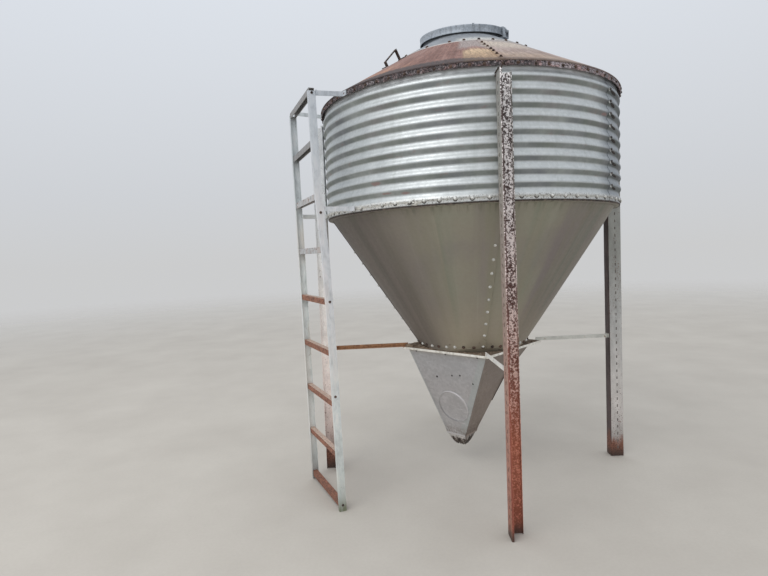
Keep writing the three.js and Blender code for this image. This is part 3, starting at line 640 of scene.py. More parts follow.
def hopper_material():
    m = Mat("dull_hopper")
    c = m.attr("cyl", "Vector")
    u, s, _ = m.xyz(c)
    streak = m.noise(m.scaled(c, (8, 0.55, 1)), 1.0, 4, 0.55)
    thin = m.noise(m.scaled(c, (42, 1.1, 1)), 1.0, 3, 0.6)
    cloud = m.noise(m.obj, 2.6, 4, 0.6)
    fine = m.noise(m.obj, 60, 4, 0.7)
    z = m.xyz(m.obj)[2]
    col = m.ramp(cloud, [(0.3, (0.305, 0.280, 0.248)), (0.48, (0.340, 0.318, 0.258)), (0.6, (0.342, 0.332, 0.268)), (0.75, (0.40, 0.362, 0.302))])
    # vertical streaks, some purple, some green
    hue = m.noise(m.scaled(c, (9, 0.5, 1), (3, 0, 0)), 1.0, 3, 0.6)
    tint = m.ramp(hue, [(0.36, (0.285, 0.245, 0.245)), (0.5, (0.30, 0.285, 0.215)), (0.64, (0.235, 0.265, 0.20))], "EASE")
    col = m.mix(m.mapr(streak, 0.38, 0.66, 0, 0.68), col, tint)
    col = m.mix(m.mapr(thin, 0.56, 0.74, 0, 0.18), col, (0.45, 0.425, 0.36))
    low = m.mapr(z, 1.25, 0.86, 0, 0.55)
    col = m.mix(low, col, (0.47, 0.405, 0.305))
    # painted shade: the far left of the cone is darkened, and the right side below it too
    far_left_shade = m.mapr(m.azimuth(), -104.0, -146.0, 0, 0.78)
    col = m.mix(far_left_shade, col, m.mix(m.mapr(streak, 0.4, 0.62), (0.156, 0.130, 0.124), (0.113, 0.095, 0.090)))
    shade = m.math("MULTIPLY", m.within(m.azimuth(), -58.0, 25.0, 14.0), m.mapr(streak, 0.3, 0.6, 0.75, 1.0))
    col = m.mix(shade, col, m.mix(1.0, col, (0.77, 0.745, 0.80), "MULTIPLY"))
    dark = m.math("MULTIPLY", m.mapr(m.noise(m.obj, 34, 5, 0.7), 0.6, 0.7), m.mapr(z, 0.95, 0.86, 0.06, 0.7))
    col = m.mix(dark, col, (0.13, 0.095, 0.07))
    edge = m.math("MULTIPLY", m.mapr(z, 1.60, 1.66), m.mapr(m.noise(m.scaled(c, (60, 6, 1)), 1.0, 3), 0.45, 0.65, 0, 0.6))
    col = m.mix(edge, col, (0.17, 0.175, 0.13))
    n = m.bump(m.noise(m.obj, 9, 3), 0.3, 0.003)
    n = m.bump(fine, 0.25, 0.0006, n)
    return m.finish(col, m.mapr(fine, 0.3, 0.7, 0.50, 0.66), 0.28, n)


def plate_material():
    m = Mat("dusty_plate")
    fine = m.noise(m.obj, 85, 5, 0.72)
    patch = m.noise(m.obj, 16, 5, 0.7)
    lay = m.ramp(patch, [(0.34, (0.07, 0.050, 0.038)), (0.46, (0.16, 0.117, 0.083)), (0.58, (0.26, 0.193, 0.135)), (0.72, (0.29, 0.265, 0.23))])
    lay = m.mix(m.mapr(fine, 0.55, 0.68, 0, 0.7), lay, (0.09, 0.065, 0.05))
    zinc = m.ramp(m.noise(m.scaled(m.obj, (1, 1, 1), (3, 1, 2)), 30, 4, 0.65), [(0.33, (0.68, 0.655, 0.585)), (0.55, (0.96, 0.935, 0.865))])
    zinc = m.mix(m.mapr(fine, 0.60, 0.70, 0, 0.5), zinc, (0.34, 0.28, 0.21))
    g = m.mapr(m.up(), 0.5, 0.9)
    col = m.mix(g, zinc, lay)
    rough = m.mapr(g, 0, 1, 0.42, 0.9, "LINEAR")
    return m.finish(col, rough, m.mapr(g, 0, 1, 0.12, 0.0, "LINEAR"), m.bump(fine, 0.5, 0.0012))


def dirt_material():
    m = Mat("blown_dirt")
    fine = m.noise(m.obj, 120, 5, 0.75)
    patch = m.noise(m.obj, 38, 4, 0.7)
    col = m.ramp(patch, [(0.36, (0.086, 0.061, 0.042)), (0.5, (0.188, 0.134, 0.094)), (0.64, (0.305, 0.235, 0.165))])
    col = m.mix(m.mapr(fine, 0.56, 0.64, 0, 0.85), col, (0.045, 0.032, 0.025))
    return m.finish(col, 0.95, 0.0, m.bump(fine, 0.9, 0.002))


def boot_material(name, tone, strip_tone, warm_low):
    m = Mat(name)
    z = m.xyz(m.obj)[2]
    cloud = m.noise(m.obj, 6, 5, 0.65)
    fine = m.noise(m.obj, 70, 4, 0.7)
    brushed = m.noise(m.scaled(m.obj, (14, 14, 90)), 1.0, 4, 0.6)
    down = m.noise(m.scaled(m.obj, (60, 60, 5)), 1.0, 4, 0.6)
    spangle = m.xyz(m.voronoi(m.obj, 60, "Color"))[0]
    col = m.ramp(cloud, [(0.3, tuple(0.88 * t for t in tone)), (0.5, tone), (0.7, tuple(1.11 * t for t in tone))])
    col = m.mix(m.mapr(z, 0.50, 0.74, 0, 0.55), col, (0.95 * tone[0], 1.0 * tone[1], 1.03 * tone[2]))
    col = m.mottle(col, spangle, 0.93, 1.07, 0.0, 1.0)
    col = m.mix(m.mapr(down, 0.55, 0.72, 0, 0.3), col, tuple(0.68 * t for t in tone))
    col = m.mix(m.attr("strip"), col, m.mottle(m.ramp(cloud, [(0.3, tuple(0.92 * t for t in strip_tone)), (0.7, tuple(1.06 * t for t in strip_tone))]), fine, 0.9, 1.1))
    scratch = m.math("MULTIPLY", m.mapr(brushed, 0.57, 0.68), m.mapr(z, 0.52, 0.34, 0.12, 0.78))
    col = m.mix(scratch, col, tuple(min(1.0, 1.35 * t) for t in tone))
    # dust lies under the plate's lip and on the folds near the foot
    lip = m.mapr(z, 0.770, 0.800, 0, 0.55)
    col = m.mix(lip, col, (0.50, 0.45, 0.37))
    low = m.math("MULTIPLY", m.mapr(z, 0.30, 0.215), m.mapr(fine, 0.4, 0.6, 0.15, 0.9))
    col = m.mix(low, col, warm_low)
    # painted highlight on the upper right of the knock-out's pressed ring, painted shade on its lower left
    arc = m.attr("arc")
    col = m.mix(m.mapr(arc, 0.2, 0.95, 0, 0.75), col, tuple(min(1.0, 1.5 * t) for t in tone))
    col = m.mix(m.mapr(arc, -0.1, -0.9, 0, 0.6), col, tuple(0.38 * t for t in tone))
    hem = m.mapr(z, 0.2165, 0.2115, 0, 0.8)
    col = m.mix(hem, col, tuple(min(1.0, 1.3 * t) for t in tone))
    n = m.bump(m.noise(m.obj, 20, 3), 0.25, 0.0015)
    n = m.bump(fine, 0.2, 0.0005, n)
    return m.finish(col, m.mapr(fine, 0.3, 0.7, 0.38, 0.54), 0.42, n)


def outlet_material():
    m = Mat("rotted_outlet")
    fine = m.noise(m.obj, 90, 5, 0.75)
    drip = m.noise(m.scaled(m.obj, (75, 75, 9)), 1.0, 4, 0.7)
    z = m.xyz(m.obj)[2]
    col = m.ramp(drip, [(0.38, (0.020, 0.016, 0.014)), (0.48, (0.085, 0.062, 0.050)), (0.56, (0.30, 0.265, 0.24)), (0.66, (0.60, 0.56, 0.52))])
    col = m.mix(m.mapr(z, 0.172, 0.140, 0, 0.6), col, (0.045, 0.034, 0.028))
    white = m.math("MULTIPLY", m.mapr(m.math("ADD", z, m.math("MULTIPLY", m.math("SUBTRACT", drip, 0.5), 0.04)), 0.176, 0.186), m.mapr(m.facing()[0], 0.45, 0.1, 0.25, 1.0))
    col = m.mix(white, col, m.ramp(fine, [(0.36, (0.34, 0.30, 0.27)), (0.5, (0.62, 0.59, 0.565)), (0.64, (0.82, 0.80, 0.78))]))
    col = m.mix(m.mapr(fine, 0.56, 0.66, 0, 0.6), col, (0.40, 0.30, 0.23))
    return m.finish(col, 0.85, 0.1, m.bump(fine, 0.9, 0.002))


def front_leg_material():
    """Zinc gone to white and dark specks on the broad face, redder downwards, orange-red near the foot."""
    m = Mat("front_leg_specks")
    z = m.xyz(m.obj)[2]
    nx, ny, nz = m.facing()
    v = m.obj
    zt = m.math("DIVIDE", z, 2.3)
    fine = m.noise(v, 104, 3, 0.75)
    mid = m.noise(m.scaled(v, (1, 1, 0.15), (3, 2, 1)), 56, 4, 0.7)
    wide = m.noise(m.scaled(v, (1, 1, 0.25), (7, 2, 1)), 10, 4, 0.65)
    speck = m.math("ADD", m.math("MULTIPLY", fine, 0.62), m.math("ADD", m.math("MULTIPLY", mid, 0.28), m.math("MULTIPLY", wide, 0.10)))
    pale = m.ramp(zt, [(0.0, (0.56, 0.185, 0.115)), (0.20, (0.72, 0.285, 0.190)), (0.36, (0.84, 0.60, 0.52)), (0.52, (0.93, 0.775, 0.73)), (0.75, (0.96, 0.90, 0.89)), (1.0, (0.97, 0.94, 0.94))])
    dark = m.ramp(zt, [(0.0, (0.27, 0.078, 0.044)), (0.20, (0.42, 0.130, 0.072)), (0.36, (0.23, 0.085, 0.060)), (0.52, (0.125, 0.062, 0.052)), (0.75, (0.085, 0.055, 0.050)), (1.0, (0.066, 0.050, 0.050))])
    share = m.ramp(zt, [(0.0, 0.54), (0.25, 0.52), (0.45, 0.503), (1.0, 0.500)])
    cover = m.math("SUBTRACT", speck, m.math("SUBTRACT", 1.0, share))
    column = m.within(m.math("SUBTRACT", m.xyz(v)[0], AX), 0.008, 0.028, 0.006)
    cover = m.math("ADD", cover, m.math("MULTIPLY", column, m.ramp(zt, [(0.0, 0.0), (0.3, 0.020), (0.48, 0.070), (0.66, 0.060), (1.0, 0.050)])))
    cover = m.mapr(cover, -0.021, 0.021)
    front = m.mix(cover, pale, dark)
    # painted shadow: dark red lines run down beside the fold on the lower half
    fold = m.math("MAXIMUM", m.within(m.math("SUBTRACT", m.xyz(v)[0], AX), 0.003, 0.008, 0.003), m.within(m.math("SUBTRACT", m.xyz(v)[0], AX), 0.021, 0.025, 0.003))
    fold = m.math("MULTIPLY", fold, m.math("MULTIPLY", m.mapr(z, 1.15, 0.75, 0, 0.8), m.mapr(mid, 0.38, 0.52, 0.45, 1.0)))
    front = m.mix(fold, front, (0.235, 0.060, 0.042))
    # the web's outer face: greenish grey above, pinker and paler down
    side = m.ramp(zt, [(0.0, (0.34, 0.150, 0.100)), (0.16, (0.45, 0.215, 0.160)), (0.34, (0.43, 0.260, 0.210)), (0.5, (0.39, 0.300, 0.260)), (0.8, (0.345, 0.338, 0.312)), (1.0, (0.300, 0.298, 0.284))])
    side = m.mottle(side, fine, 0.7, 1.3)
    side = m.mix(m.math("MULTIPLY", m.mapr(m.noise(v, 60, 4, 0.7), 0.56, 0.62), m.ramp(zt, [(0.0, 0.9), (0.5, 0.7), (0.9, 0.35)])), side, (0.16, 0.075, 0.055))
    left = m.mapr(nx, -0.35, -0.75)
    col = m.mix(left, front, side)
    wet = m.mapr(m.math("ADD", z, m.math("MULTIPLY", m.math("SUBTRACT", wide, 0.5), 0.08)), 0.085, 0.0, 0, 0.85)
    col = m.mix(wet, col, (0.050, 0.038, 0.030))
    n = m.bump(speck, 0.5, 0.0018)
    return m.finish(col, m.mapr(fine, 0.3, 0.7, 0.6, 0.88), 0.05, n)


def leg_material(name, tones, inner=None, foot_z=0.30, rust=0.30):
    """Galvanised angle: tones of the web from the foot up, its inner flange in a dark maroon of its own, partly rust
    and partly painted shade.
    """
    m = Mat(name)
    z = m.xyz(m.obj)[2]
    nx, ny, nz = m.facing()
    v = m.obj
    zt = m.math("DIVIDE", z, 2.3)
    fine = m.noise(v, 100, 4, 0.72)
    mid = m.noise(m.scaled(v, (1, 1, 0.35)), 24, 4, 0.65)
    wide = m.noise(m.scaled(v, (1, 1, 0.25), (3, 2, 1)), 9, 4, 0.65)
    col = m.ramp(zt, tones)
    col = m.mottle(col, mid, 0.84, 1.16)
    col = m.mottle(col, fine, 0.88, 1.12)
    # the faces toward -X take a dark maroon: partly rust, partly painted shade on the inner flange
    if inner is not None:
        maroon_shade = m.mottle(m.ramp(mid, [(0.35, tuple(0.6 * t for t in inner)), (0.62, tuple(1.3 * t for t in inner))]), fine, 0.6, 1.4)
        col = m.mix(m.mapr(nx, -0.35, -0.75), col, maroon_shade)
    spots = m.mapr(m.math("ADD", fine, m.math("MULTIPLY", wide, 0.5)), 0.86 - rust * 0.25, 0.93 - rust * 0.25)
    col = m.mix(m.math("MULTIPLY", spots, 0.8), col, (0.17, 0.085, 0.06))
    low = m.math("ADD", m.mapr(z, foot_z, 0.04, 0, 1, "LINEAR"), m.math("MULTIPLY", m.math("SUBTRACT", mid, 0.5), 1.6))
    red = m.mix(m.mapr(fine, 0.42, 0.62), (0.29, 0.12, 0.075), (0.12, 0.05, 0.036))
    col = m.mix(m.mapr(low, 0.20, 0.90), col, red)
    wet = m.mapr(m.math("ADD", z, m.math("MULTIPLY", m.math("SUBTRACT", wide, 0.5), 0.08)), 0.10, 0.0, 0, 0.85)
    col = m.mix(wet, col, (0.045, 0.036, 0.030))
    n = m.bump(m.noise(v, 30, 4, 0.6), 0.3, 0.0016)
    n = m.bump(fine, 0.4, 0.0006, n)
    return m.finish(col, m.mapr(fine, 0.3, 0.7, 0.5, 0.78), 0.18, n)


def brace_material(name, rusty, tone, metal=0.4):
    m = Mat(name)
    v = m.obj
    fine = m.noise(v, 90, 5, 0.7)
    zinc = m.ramp(m.noise(v, 20, 4, 0.65), [(0.32, tuple(x * 0.75 for x in tone)), (0.65, tone)])
    cover = m.mapr(m.noise(v, 30, 5, 0.7), 0.66 - rusty * 0.3, 0.72 - rusty * 0.3)
    col = m.mix(cover, zinc, m.mix(m.mapr(fine, 0.45, 0.65), (0.42, 0.22, 0.11), (0.20, 0.09, 0.055)))
    return m.finish(col, m.mapr(cover, 0, 1, 0.5, 0.85, "LINEAR"), m.mapr(cover, 0, 1, metal, 0.05, "LINEAR"), m.bump(fine, 0.5, 0.0008))


def ladder_material(name, tone, rusty, warm=(0.66, 0.60, 0.57), warm_share=0.5, moss_share=0.0, rust_tone=(0.43, 0.205, 0.13), fall=None):
    m = Mat(name)
    v = m.obj
    z = m.xyz(v)[2]
    fine = m.noise(v, 110, 5, 0.72)
    mid = m.noise(m.scaled(v, (1, 1, 0.4)), 26, 5, 0.7)
    zinc = m.ramp(mid, [(0.32, tuple(0.76 * t for t in tone)), (0.5, tone), (0.68, tuple(min(1.0, 1.2 * t) for t in tone))])
    chalk = m.math("MULTIPLY", m.mapr(m.noise(m.scaled(v, (1, 1, 0.2), (2, 5, 1)), 9, 3), 0.42, 0.62), m.math("MULTIPLY", m.math("MULTIPLY", m.mapr(z, 2.05, 1.5, 0.08, 1.0), m.mapr(z, 0.45, 0.95, 0.45, 1.0)), warm_share))
    zinc = m.mix(chalk, zinc, warm)
    if fall:
        zinc = m.mix(1.0, zinc, m.ramp(m.math("DIVIDE", z, 2.5), fall), "MULTIPLY")
    rust = m.mix(m.mapr(fine, 0.42, 0.66, 0, 0.8), rust_colour(m, v, 30, 1.1), rust_tone)
    cover = m.mapr(m.math("ADD", m.noise(v, 48, 5, 0.72), rusty - 0.5), 0.52, 0.60)
    col = m.mix(cover, zinc, rust)
    if 0.6 < rusty < 0.78:  # the upper edges of the rusted rungs are worn paler
        col = m.mix(m.math("MULTIPLY", m.mapr(m.up(), 0.5, 0.9), m.mapr(fine, 0.36, 0.56, 0.35, 0.8)), col, (0.66, 0.53, 0.44))
    if moss_share:
        moss = m.math("MULTIPLY", m.mapr(z, 0.10, 0.01), m.mapr(mid, 0.35, 0.6, 0.3, moss_share))
        col = m.mix(moss, col, (0.12, 0.135, 0.055))
    n = m.bump(m.math("MULTIPLY", cover, fine), 0.6, 0.0012)
    n = m.bump(fine, 0.25, 0.0005, n)
    return m.finish(col, m.mapr(cover, 0, 1, 0.5, 0.85, "LINEAR"), m.mapr(cover, 0, 1, 0.22, 0.03, "LINEAR"), n)


def bolt_material(name, light, dark, metal=0.6, rough=0.45):
    m = Mat(name)
    f = m.noise(m.obj, 160, 4, 0.7)
    col = m.ramp(m.noise(m.obj, 38, 4, 0.65), [(0.38, dark), (0.62, light)])
    return m.finish(col, m.mapr(f, 0.3, 0.7, rough - 0.08, rough + 0.15), metal, m.bump(f, 0.4, 0.0004))


def strap_material():
    m = Mat("rusted_strap")
    f = m.noise(m.obj, 120, 5, 0.7)
    col = m.ramp(m.noise(m.obj, 50, 5, 0.7), [(0.38, (0.025, 0.022, 0.022)), (0.55, (0.085, 0.06, 0.05)), (0.68, (0.21, 0.15, 0.12))])
    return m.finish(col, 0.8, 0.2, m.bump(f, 0.6, 0.0008))


def sealant_material():
    m = Mat("sealant")
    f = m.noise(m.obj, 90, 4, 0.7)
    col = m.ramp(m.noise(m.obj, 55, 4, 0.7), [(0.35, (0.38, 0.37, 0.33)), (0.6, (0.70, 0.69, 0.64))])
    return m.finish(col, 0.7, 0.0, m.bump(f, 0.7, 0.001))


WALL = wall_material()
RIM = rim_material()
ROOF = roof_material()
LID = lid_material()
COLLAR = collar_material()
FLANGE = flange_material()
HOPPER = hopper_material()
PLATE = plate_material()
BOOT = boot_material("boot_lilac", (0.535, 0.522, 0.528), (0.505, 0.545, 0.535), (0.30, 0.26, 0.235))
# the right-hand walls take a darker brown copy: partly their own rust-brown, partly painted shade
BOOT_SHADED_SIDE = boot_material("boot_brown_shaded", (0.278, 0.226, 0.196), (0.36, 0.315, 0.285), (0.17, 0.13, 0.11))
DIRT = dirt_material()
OUTLET = outlet_material()
LEG_A = front_leg_material()
# the right leg's inner flange tone is partly painted shade
LEG_B = leg_material("leg_right", [(0.0, (0.40, 0.38, 0.36)), (0.16, (0.675, 0.635, 0.605)), (0.42, (0.52, 0.520, 0.505)), (0.6, (0.36, 0.365, 0.34)), (1.0, (0.34, 0.345, 0.325))], (0.105, 0.078, 0.078), 0.22, 0.10)
LEG_D = leg_material("leg_back", [(0.0, (0.40, 0.38, 0.36)), (0.16, (0.64, 0.61, 0.585)), (0.42, (0.54, 0.535, 0.52)), (0.7, (0.46, 0.465, 0.45)), (1.0, (0.44, 0.45, 0.44))], None, 0.26, 0.12)
# the left leg: pale whitened zinc, its tones set high enough to also paint light onto its shaded web
LEG_C = leg_material("leg_left", [(0.0, (0.46, 0.35, 0.32)), (0.22, (0.95, 0.85, 0.80)), (0.5, (0.96, 0.93, 0.90)), (0.72, (0.84, 0.86, 0.865)), (1.0, (0.72, 0.74, 0.75))], None, 0.34, 0.05)
BRACE_PALE = brace_material("brace_pale", 0.08, (0.97, 0.955, 0.92), 0.08)
BRACE_GREY = brace_material("brace_grey", 0.14, (0.73, 0.73, 0.675), 0.15)
BRACE_RUST = brace_material("brace_rust", 0.92, (0.52, 0.26, 0.140), 0.1)
LADDER = ladder_material("ladder_zinc", (0.86, 0.90, 0.925), 0.34, (0.93, 0.89, 0.86), 0.85, moss_share=0.8, fall=[(0.0, (0.56, 0.575, 0.525)), (0.08, (0.78, 0.793, 0.745)), (0.2, (0.89, 0.89, 0.85)), (0.5, (0.876, 0.850, 0.850)), (0.70, (0.82, 0.81, 0.82)), (0.84, (0.70, 0.71, 0.73)), (0.92, (0.66, 0.672, 0.705))])
LADDER_FAR = ladder_material("ladder_zinc_far", (0.90, 0.94, 0.95), 0.38, (0.90, 0.84, 0.78), 0.7, fall=[(0.0, (0.55, 0.55, 0.53)), (0.12, (0.86, 0.86, 0.84)), (0.5, (0.91, 0.91, 0.89)), (0.8, (0.74, 0.75, 0.76)), (0.95, (0.71, 0.73, 0.745))])
RUNG_RUST = ladder_material("rung_rust", (0.62, 0.46, 0.39), 0.74, (0.62, 0.42, 0.33), 0.8, 0.0, (0.54, 0.235, 0.15))
RUNG_RUST_LOW = ladder_material("rung_rust_low", (0.46, 0.33, 0.27), 0.80, (0.46, 0.31, 0.25), 0.8, 0.0, (0.40, 0.165, 0.105))
RUNG_GREY = ladder_material("rung_grey", (0.275, 0.270, 0.268), 0.42, (0.30, 0.27, 0.26), 0.3)
RUNG_ZINC = ladder_material("rung_zinc", (0.50, 0.505, 0.51), 0.47, (0.52, 0.43, 0.39), 0.6)
BOLT_DARK = bolt_material("bolt_dark", (0.20, 0.19, 0.185), (0.035, 0.033, 0.032), 0.5)
BOLT_RUST = bolt_material("bolt_rust", (0.16, 0.10, 0.075), (0.03, 0.022, 0.02), 0.2, 0.75)
BOLT_LIGHT = bolt_material("bolt_light", (0.82, 0.82, 0.79), (0.50, 0.50, 0.47), 0.55, 0.38)
# dark fillings of painted shade, for the slots and the seam's leaf shapes
SLOT_SHADE = bolt_material("slot_shade", (0.060, 0.048, 0.042), (0.022, 0.018, 0.016), 0.0, 0.9)
SLOT_SHADE_DULL = bolt_material("slot_dull_shade", (0.20, 0.180, 0.165), (0.10, 0.088, 0.080), 0.0, 0.9)
STRAP = strap_material()
SEALANT = sealant_material()

# ------------------------------------------------------------------ corrugated wall
WALL_R, WAVE, PITCH, CREST = 0.917, 0.0065, 0.0637, 1.691
WALL_Z0, WALL_Z1 = 1.6665, 2.3325
WALL_SEAM = -43.0


def wall_line(z):
    z = np.asarray(z, float)
    r = WALL_R + WAVE * np.cos(2 * math.pi * (z - CREST) / PITCH)
    t = smooth(z, CREST - 0.001, CREST - 0.010)
    r = np.where(z > CREST + 9.5 * PITCH, WALL_R - WAVE, r)  # plain under the rim
    return np.where(z < CREST, (WALL_R + WAVE) * (1 - t) + (WALL_R + 0.0012) * t, r)


def wall_dent(az, z):
    """Small dents and the slow waviness of thin sheet, az in degrees."""
    p = np.stack(np.broadcast_arrays(az * 0.09, z * 2.2, 0.0), -1)
    d = (fbm(p, 3, 2) - 0.5) * 0.0016
    for a0, z0, wa, wz, depth in ((-109.8, 1.880, 0.55, 0.018, -0.0030), (-115.6, 1.749, 0.9, 0.010, -0.0030), (-71.0, 1.733, 1.3, 0.012, -0.0022), (30.0, 1.95, 3.0, 0.03, -0.003), (120.0, 2.1, 2.0, 0.03, -0.003)):
        d = d + depth * np.exp(-(((az - a0) / wa) ** 2) - ((z - z0) / wz) ** 2)
    return d


rows = [WALL_Z0, 1.6695, 1.674, 1.679, 1.683, 1.6855, 1.688]
rows += [CREST + PITCH * k / 11 for k in range(0, 111) if CREST + PITCH * k / 11 < WALL_Z1 - 0.002]
rows = np.array(rows + [WALL_Z1])
for i, side in enumerate(["right", "back", "left", "front"]):
    a0 = WALL_SEAM + 90 * i
    az = np.linspace(a0 - 1.25, a0 + 91.2, 98)
    A, Z = np.meshgrid(az, rows)
    Z = Z + (Z < 1.67) * (fbm(np.stack([A * 0.8, Z * 0, Z * 0], -1), 5) - 0.5) * 0.002
    lap = 0.0017 * (1 - smooth(A, a0 + 0.9, a0 + 3.4))  # this end lies over its neighbour
    rr = wall_line(Z) + wall_dent(A, Z) + lap
    O = cyl(np.radians(A), rr + 0.0008, Z)
    I = cyl(np.radians(A), rr - 0.0008, Z)
    v, f = shell(O, I)
    # how much each point faces down under a crest; the wall's finish darkens these undersides with dirt and painted
    # shade
    under = np.clip(-np.sin(2 * math.pi * (Z - CREST) / PITCH), 0, 1) * (Z > CREST) * (Z < CREST + 9.4 * PITCH)
    c = np.stack([np.radians(A) * WALL_R, Z, np.zeros_like(Z)], -1).reshape(-1, 3)
    piece(
        "wall_sheet_fine_" + side,
        Geo().add(v, f, under=np.tile(under.ravel(), 2), cyl=np.tile(c, (2, 1))),
        [WALL],
        ["wall_sheet_" + side],
        angle=60,
    )

# bolts down each lap, one in each trough
places = []
for i in range(3):  # the fourth seam is spot-welded
    a0 = WALL_SEAM + 90 * i
    for k in range(10):
        z = CREST + PITCH * (k + 0.94)
        if z > 2.30:
            break
        rr = float(wall_line(z)) + 0.0024
        places.append((cyl(R(a0), rr, z), cyl(R(a0), 1, 0.2)))
piece("wall_seam_bolts", scatter(head(0.0066, 0.0055, 0.0088, 0.0014, True), places, seed=1, tilt=0.1), [BOLT_DARK])

# at the seam on the right: pale crescents by the bolts, and beyond them dark leaf shapes, thin sheets of painted shade
g = Geo()
pale_rings = []
for k in range(10):
    z = CREST + PITCH * (k + 0.94)
    if z > 2.30:
        break
    rr = float(wall_line(z)) + 0.0012
    pale_rings.append((cyl(R(WALL_SEAM - 0.40), rr, z - 0.0012), cyl(R(WALL_SEAM), 1, 0.1)))
    s_ = np.linspace(0, 1, 26)
    a_ = WALL_SEAM + 0.95 + (4.9 + 1.9 * rnd(k, 31)) * s_
    mid_ = CREST + PITCH * (k + 0.78 + 0.10 * rnd(k, 32)) - 0.006 * s_
    half = 0.0060 * np.sin(math.pi * np.clip(s_ * 0.93 + 0.07, 0, 1)) ** 0.7 * (0.75 + 0.5 * rnd(k, 33))
    rows_ = []
    for q_ in np.linspace(-1, 1, 7):
        zz_ = mid_ + half * q_
        rows_.append(cyl(np.radians(a_), wall_line(zz_) + wall_dent(a_, zz_) + 0.0019 * (1 - smooth(a_, WALL_SEAM + 0.9, WALL_SEAM + 3.4)) + 0.0014, zz_))
    O = np.array(rows_)
    v, f = shell(O, O - np.array([math.cos(R(WALL_SEAM)), math.sin(R(WALL_SEAM)), 0]) * 0.0022)
    g.add(v, f)
piece("wall_seam_shade_leaves", g, [SLOT_SHADE], angle=60)
piece("wall_seam_crescents", scatter(head(0.0050, 0.0006, 0.0115, 0.0010), pale_rings, seed=41, tilt=0.1), [BOLT_LIGHT])

# bolts round the foot of the wall
foot = []
for k in range(72):
    a = 2.2 + 5 * k + (rnd(k, 3) - 0.5) * 0.5
    foot.append((cyl(R(a), 0.9191, 1.6842 + (rnd(k, 4) - 0.5) * 0.002), cyl(R(a), 1, 0)))
# the dark washers, part neoprene and part painted shadow, ring each pale dome
piece("wall_foot_washers", scatter(head(0.0050, 0.0004, 0.0122, 0.0014), foot, seed=2, tilt=0.10), [BOLT_DARK])
domes = [(p + 0.0012 * n + np.array([0, 0, 0.0012]), n) for p, n in foot]
piece("wall_foot_bolts", scatter(head(0.0076, 0.0062, 0.0084, 0.0008), domes, seed=2, tilt=0.12), [BOLT_LIGHT])


def blob(az, z, r, w, h, t, seed, n=26, m=18):
    """A lump of filler pressed on the wall: width, height and thickness, with an uneven rim."""
    g = np.linspace(0, 2 * math.pi, n, endpoint=False)
    rows_ = []
    for k in np.linspace(0, 1, m):
        edge = 1 + 0.45 * (fbm(np.stack([np.cos(g) * 1.6, np.sin(g) * 1.6, g * 0 + seed], -1), seed) - 0.5) * 2
        rad_ = edge * (1 - k)
        th = t * (1 - (1 - k) ** 2) * (0.7 + 0.6 * fbm(np.stack([np.cos(g) * rad_ * 3, np.sin(g) * rad_ * 3, g * 0 + seed], -1), seed + 5))
        aa = R(az) + rad_ * np.cos(g) * w / r
        rows_.append(cyl(aa, r + th, z + rad_ * np.sin(g) * h))
    base = [cyl(R(az) + 0.02 * np.cos(g) * w / r, r - 0.004, z + 0.02 * np.sin(g) * h), cyl(np.arctan2(rows_[0][:, 1], rows_[0][:, 0]), r - 0.004, rows_[0][:, 2])]
    V = np.array(base + rows_)
    k_ = np.arange(n)
    nx_ = (k_ + 1) % n
    q = [np.stack([i_ * n + k_, i_ * n + nx_, (i_ + 1) * n + nx_, (i_ + 1) * n + k_], -1) for i_ in range(len(V) - 1)]
    v_ = V.reshape(-1, 3)
    ends = [np.arange(n)[::-1][None, :], (np.arange(n) + (len(V) - 1) * n)[None, :]]
    return v_, [np.concatenate(q), *ends]


g = Geo()
for a_, z_, w_, h_, t_, sd in (
    (-115.8, 1.6800, 0.021, 0.0155, 0.0070, 1), (-114.2, 1.6830, 0.012, 0.009, 0.0050, 2), (-119.4, 1.6860, 0.013, 0.006, 0.0035, 3),
    (-128.5, 1.6890, 0.016, 0.005, 0.003, 4), (-139.0, 1.6850, 0.018, 0.007, 0.004, 5), (-147.0, 1.6840, 0.02, 0.008, 0.004, 6),
    (-96.4, 1.6880, 0.010, 0.004, 0.003, 7), (-62.0, 1.6870, 0.012, 0.004, 0.003, 8), (33.0, 1.6850, 0.02, 0.008, 0.004, 9), (110.0, 1.6850, 0.02, 0.008, 0.004, 10),
):
    v, f = blob(a_, z_, 0.9188, w_, h_, t_, sd)
    g.add(v, f)
piece("wall_sealant", g, [SEALANT], angle=50)
# a dark curl of old filler beside the lump, and a dark band of painted shadow under the wall's edge along its joint
# with the hopper
t = np.linspace(0, 1, 22)
a_ = R(-117.0) + 0.020 * np.sin(t * 4.6) * np.array(1.0) / 0.92
curl = cyl(a_, 0.9215 + 0.004 * np.sin(t * 3.1), 1.6925 - 0.022 * t + 0.004 * np.cos(t * 7))
ring_v, ring_q = [], []
for i, c_ in enumerate(curl):
    th = np.arange(6) * math.pi / 3
    ring_v.append(c_ + 0.0016 * (np.cos(th)[:, None] * np.array([math.cos(R(-117)), math.sin(R(-117)), 0]) + np.sin(th)[:, None] * np.array([0, 0, 1.0])))
for i in range(len(curl) - 1):
    for j_ in range(6):
        ring_q.append([i * 6 + j_, i * 6 + (j_ + 1) % 6, (i + 1) * 6 + (j_ + 1) % 6, (i + 1) * 6 + j_])
g = Geo().add(np.concatenate(ring_v), [np.array(ring_q), np.arange(6)[::-1][None, :], (np.arange(6) + 6 * (len(curl) - 1))[None, :]])
az = np.radians(np.arange(288) * 1.25)
wob = (fbm(np.stack([np.cos(az) * 20, np.sin(az) * 20, az * 0], -1), 15) - 0.5) * 0.004
jo = np.array([cyl(az, 0.9166 + 0 * az, 1.6600 + wob), cyl(az, 0.9172 + 0 * az, 1.6635 + wob * 0.5), cyl(az, 0.9172 + 0 * az, 1.6665)])
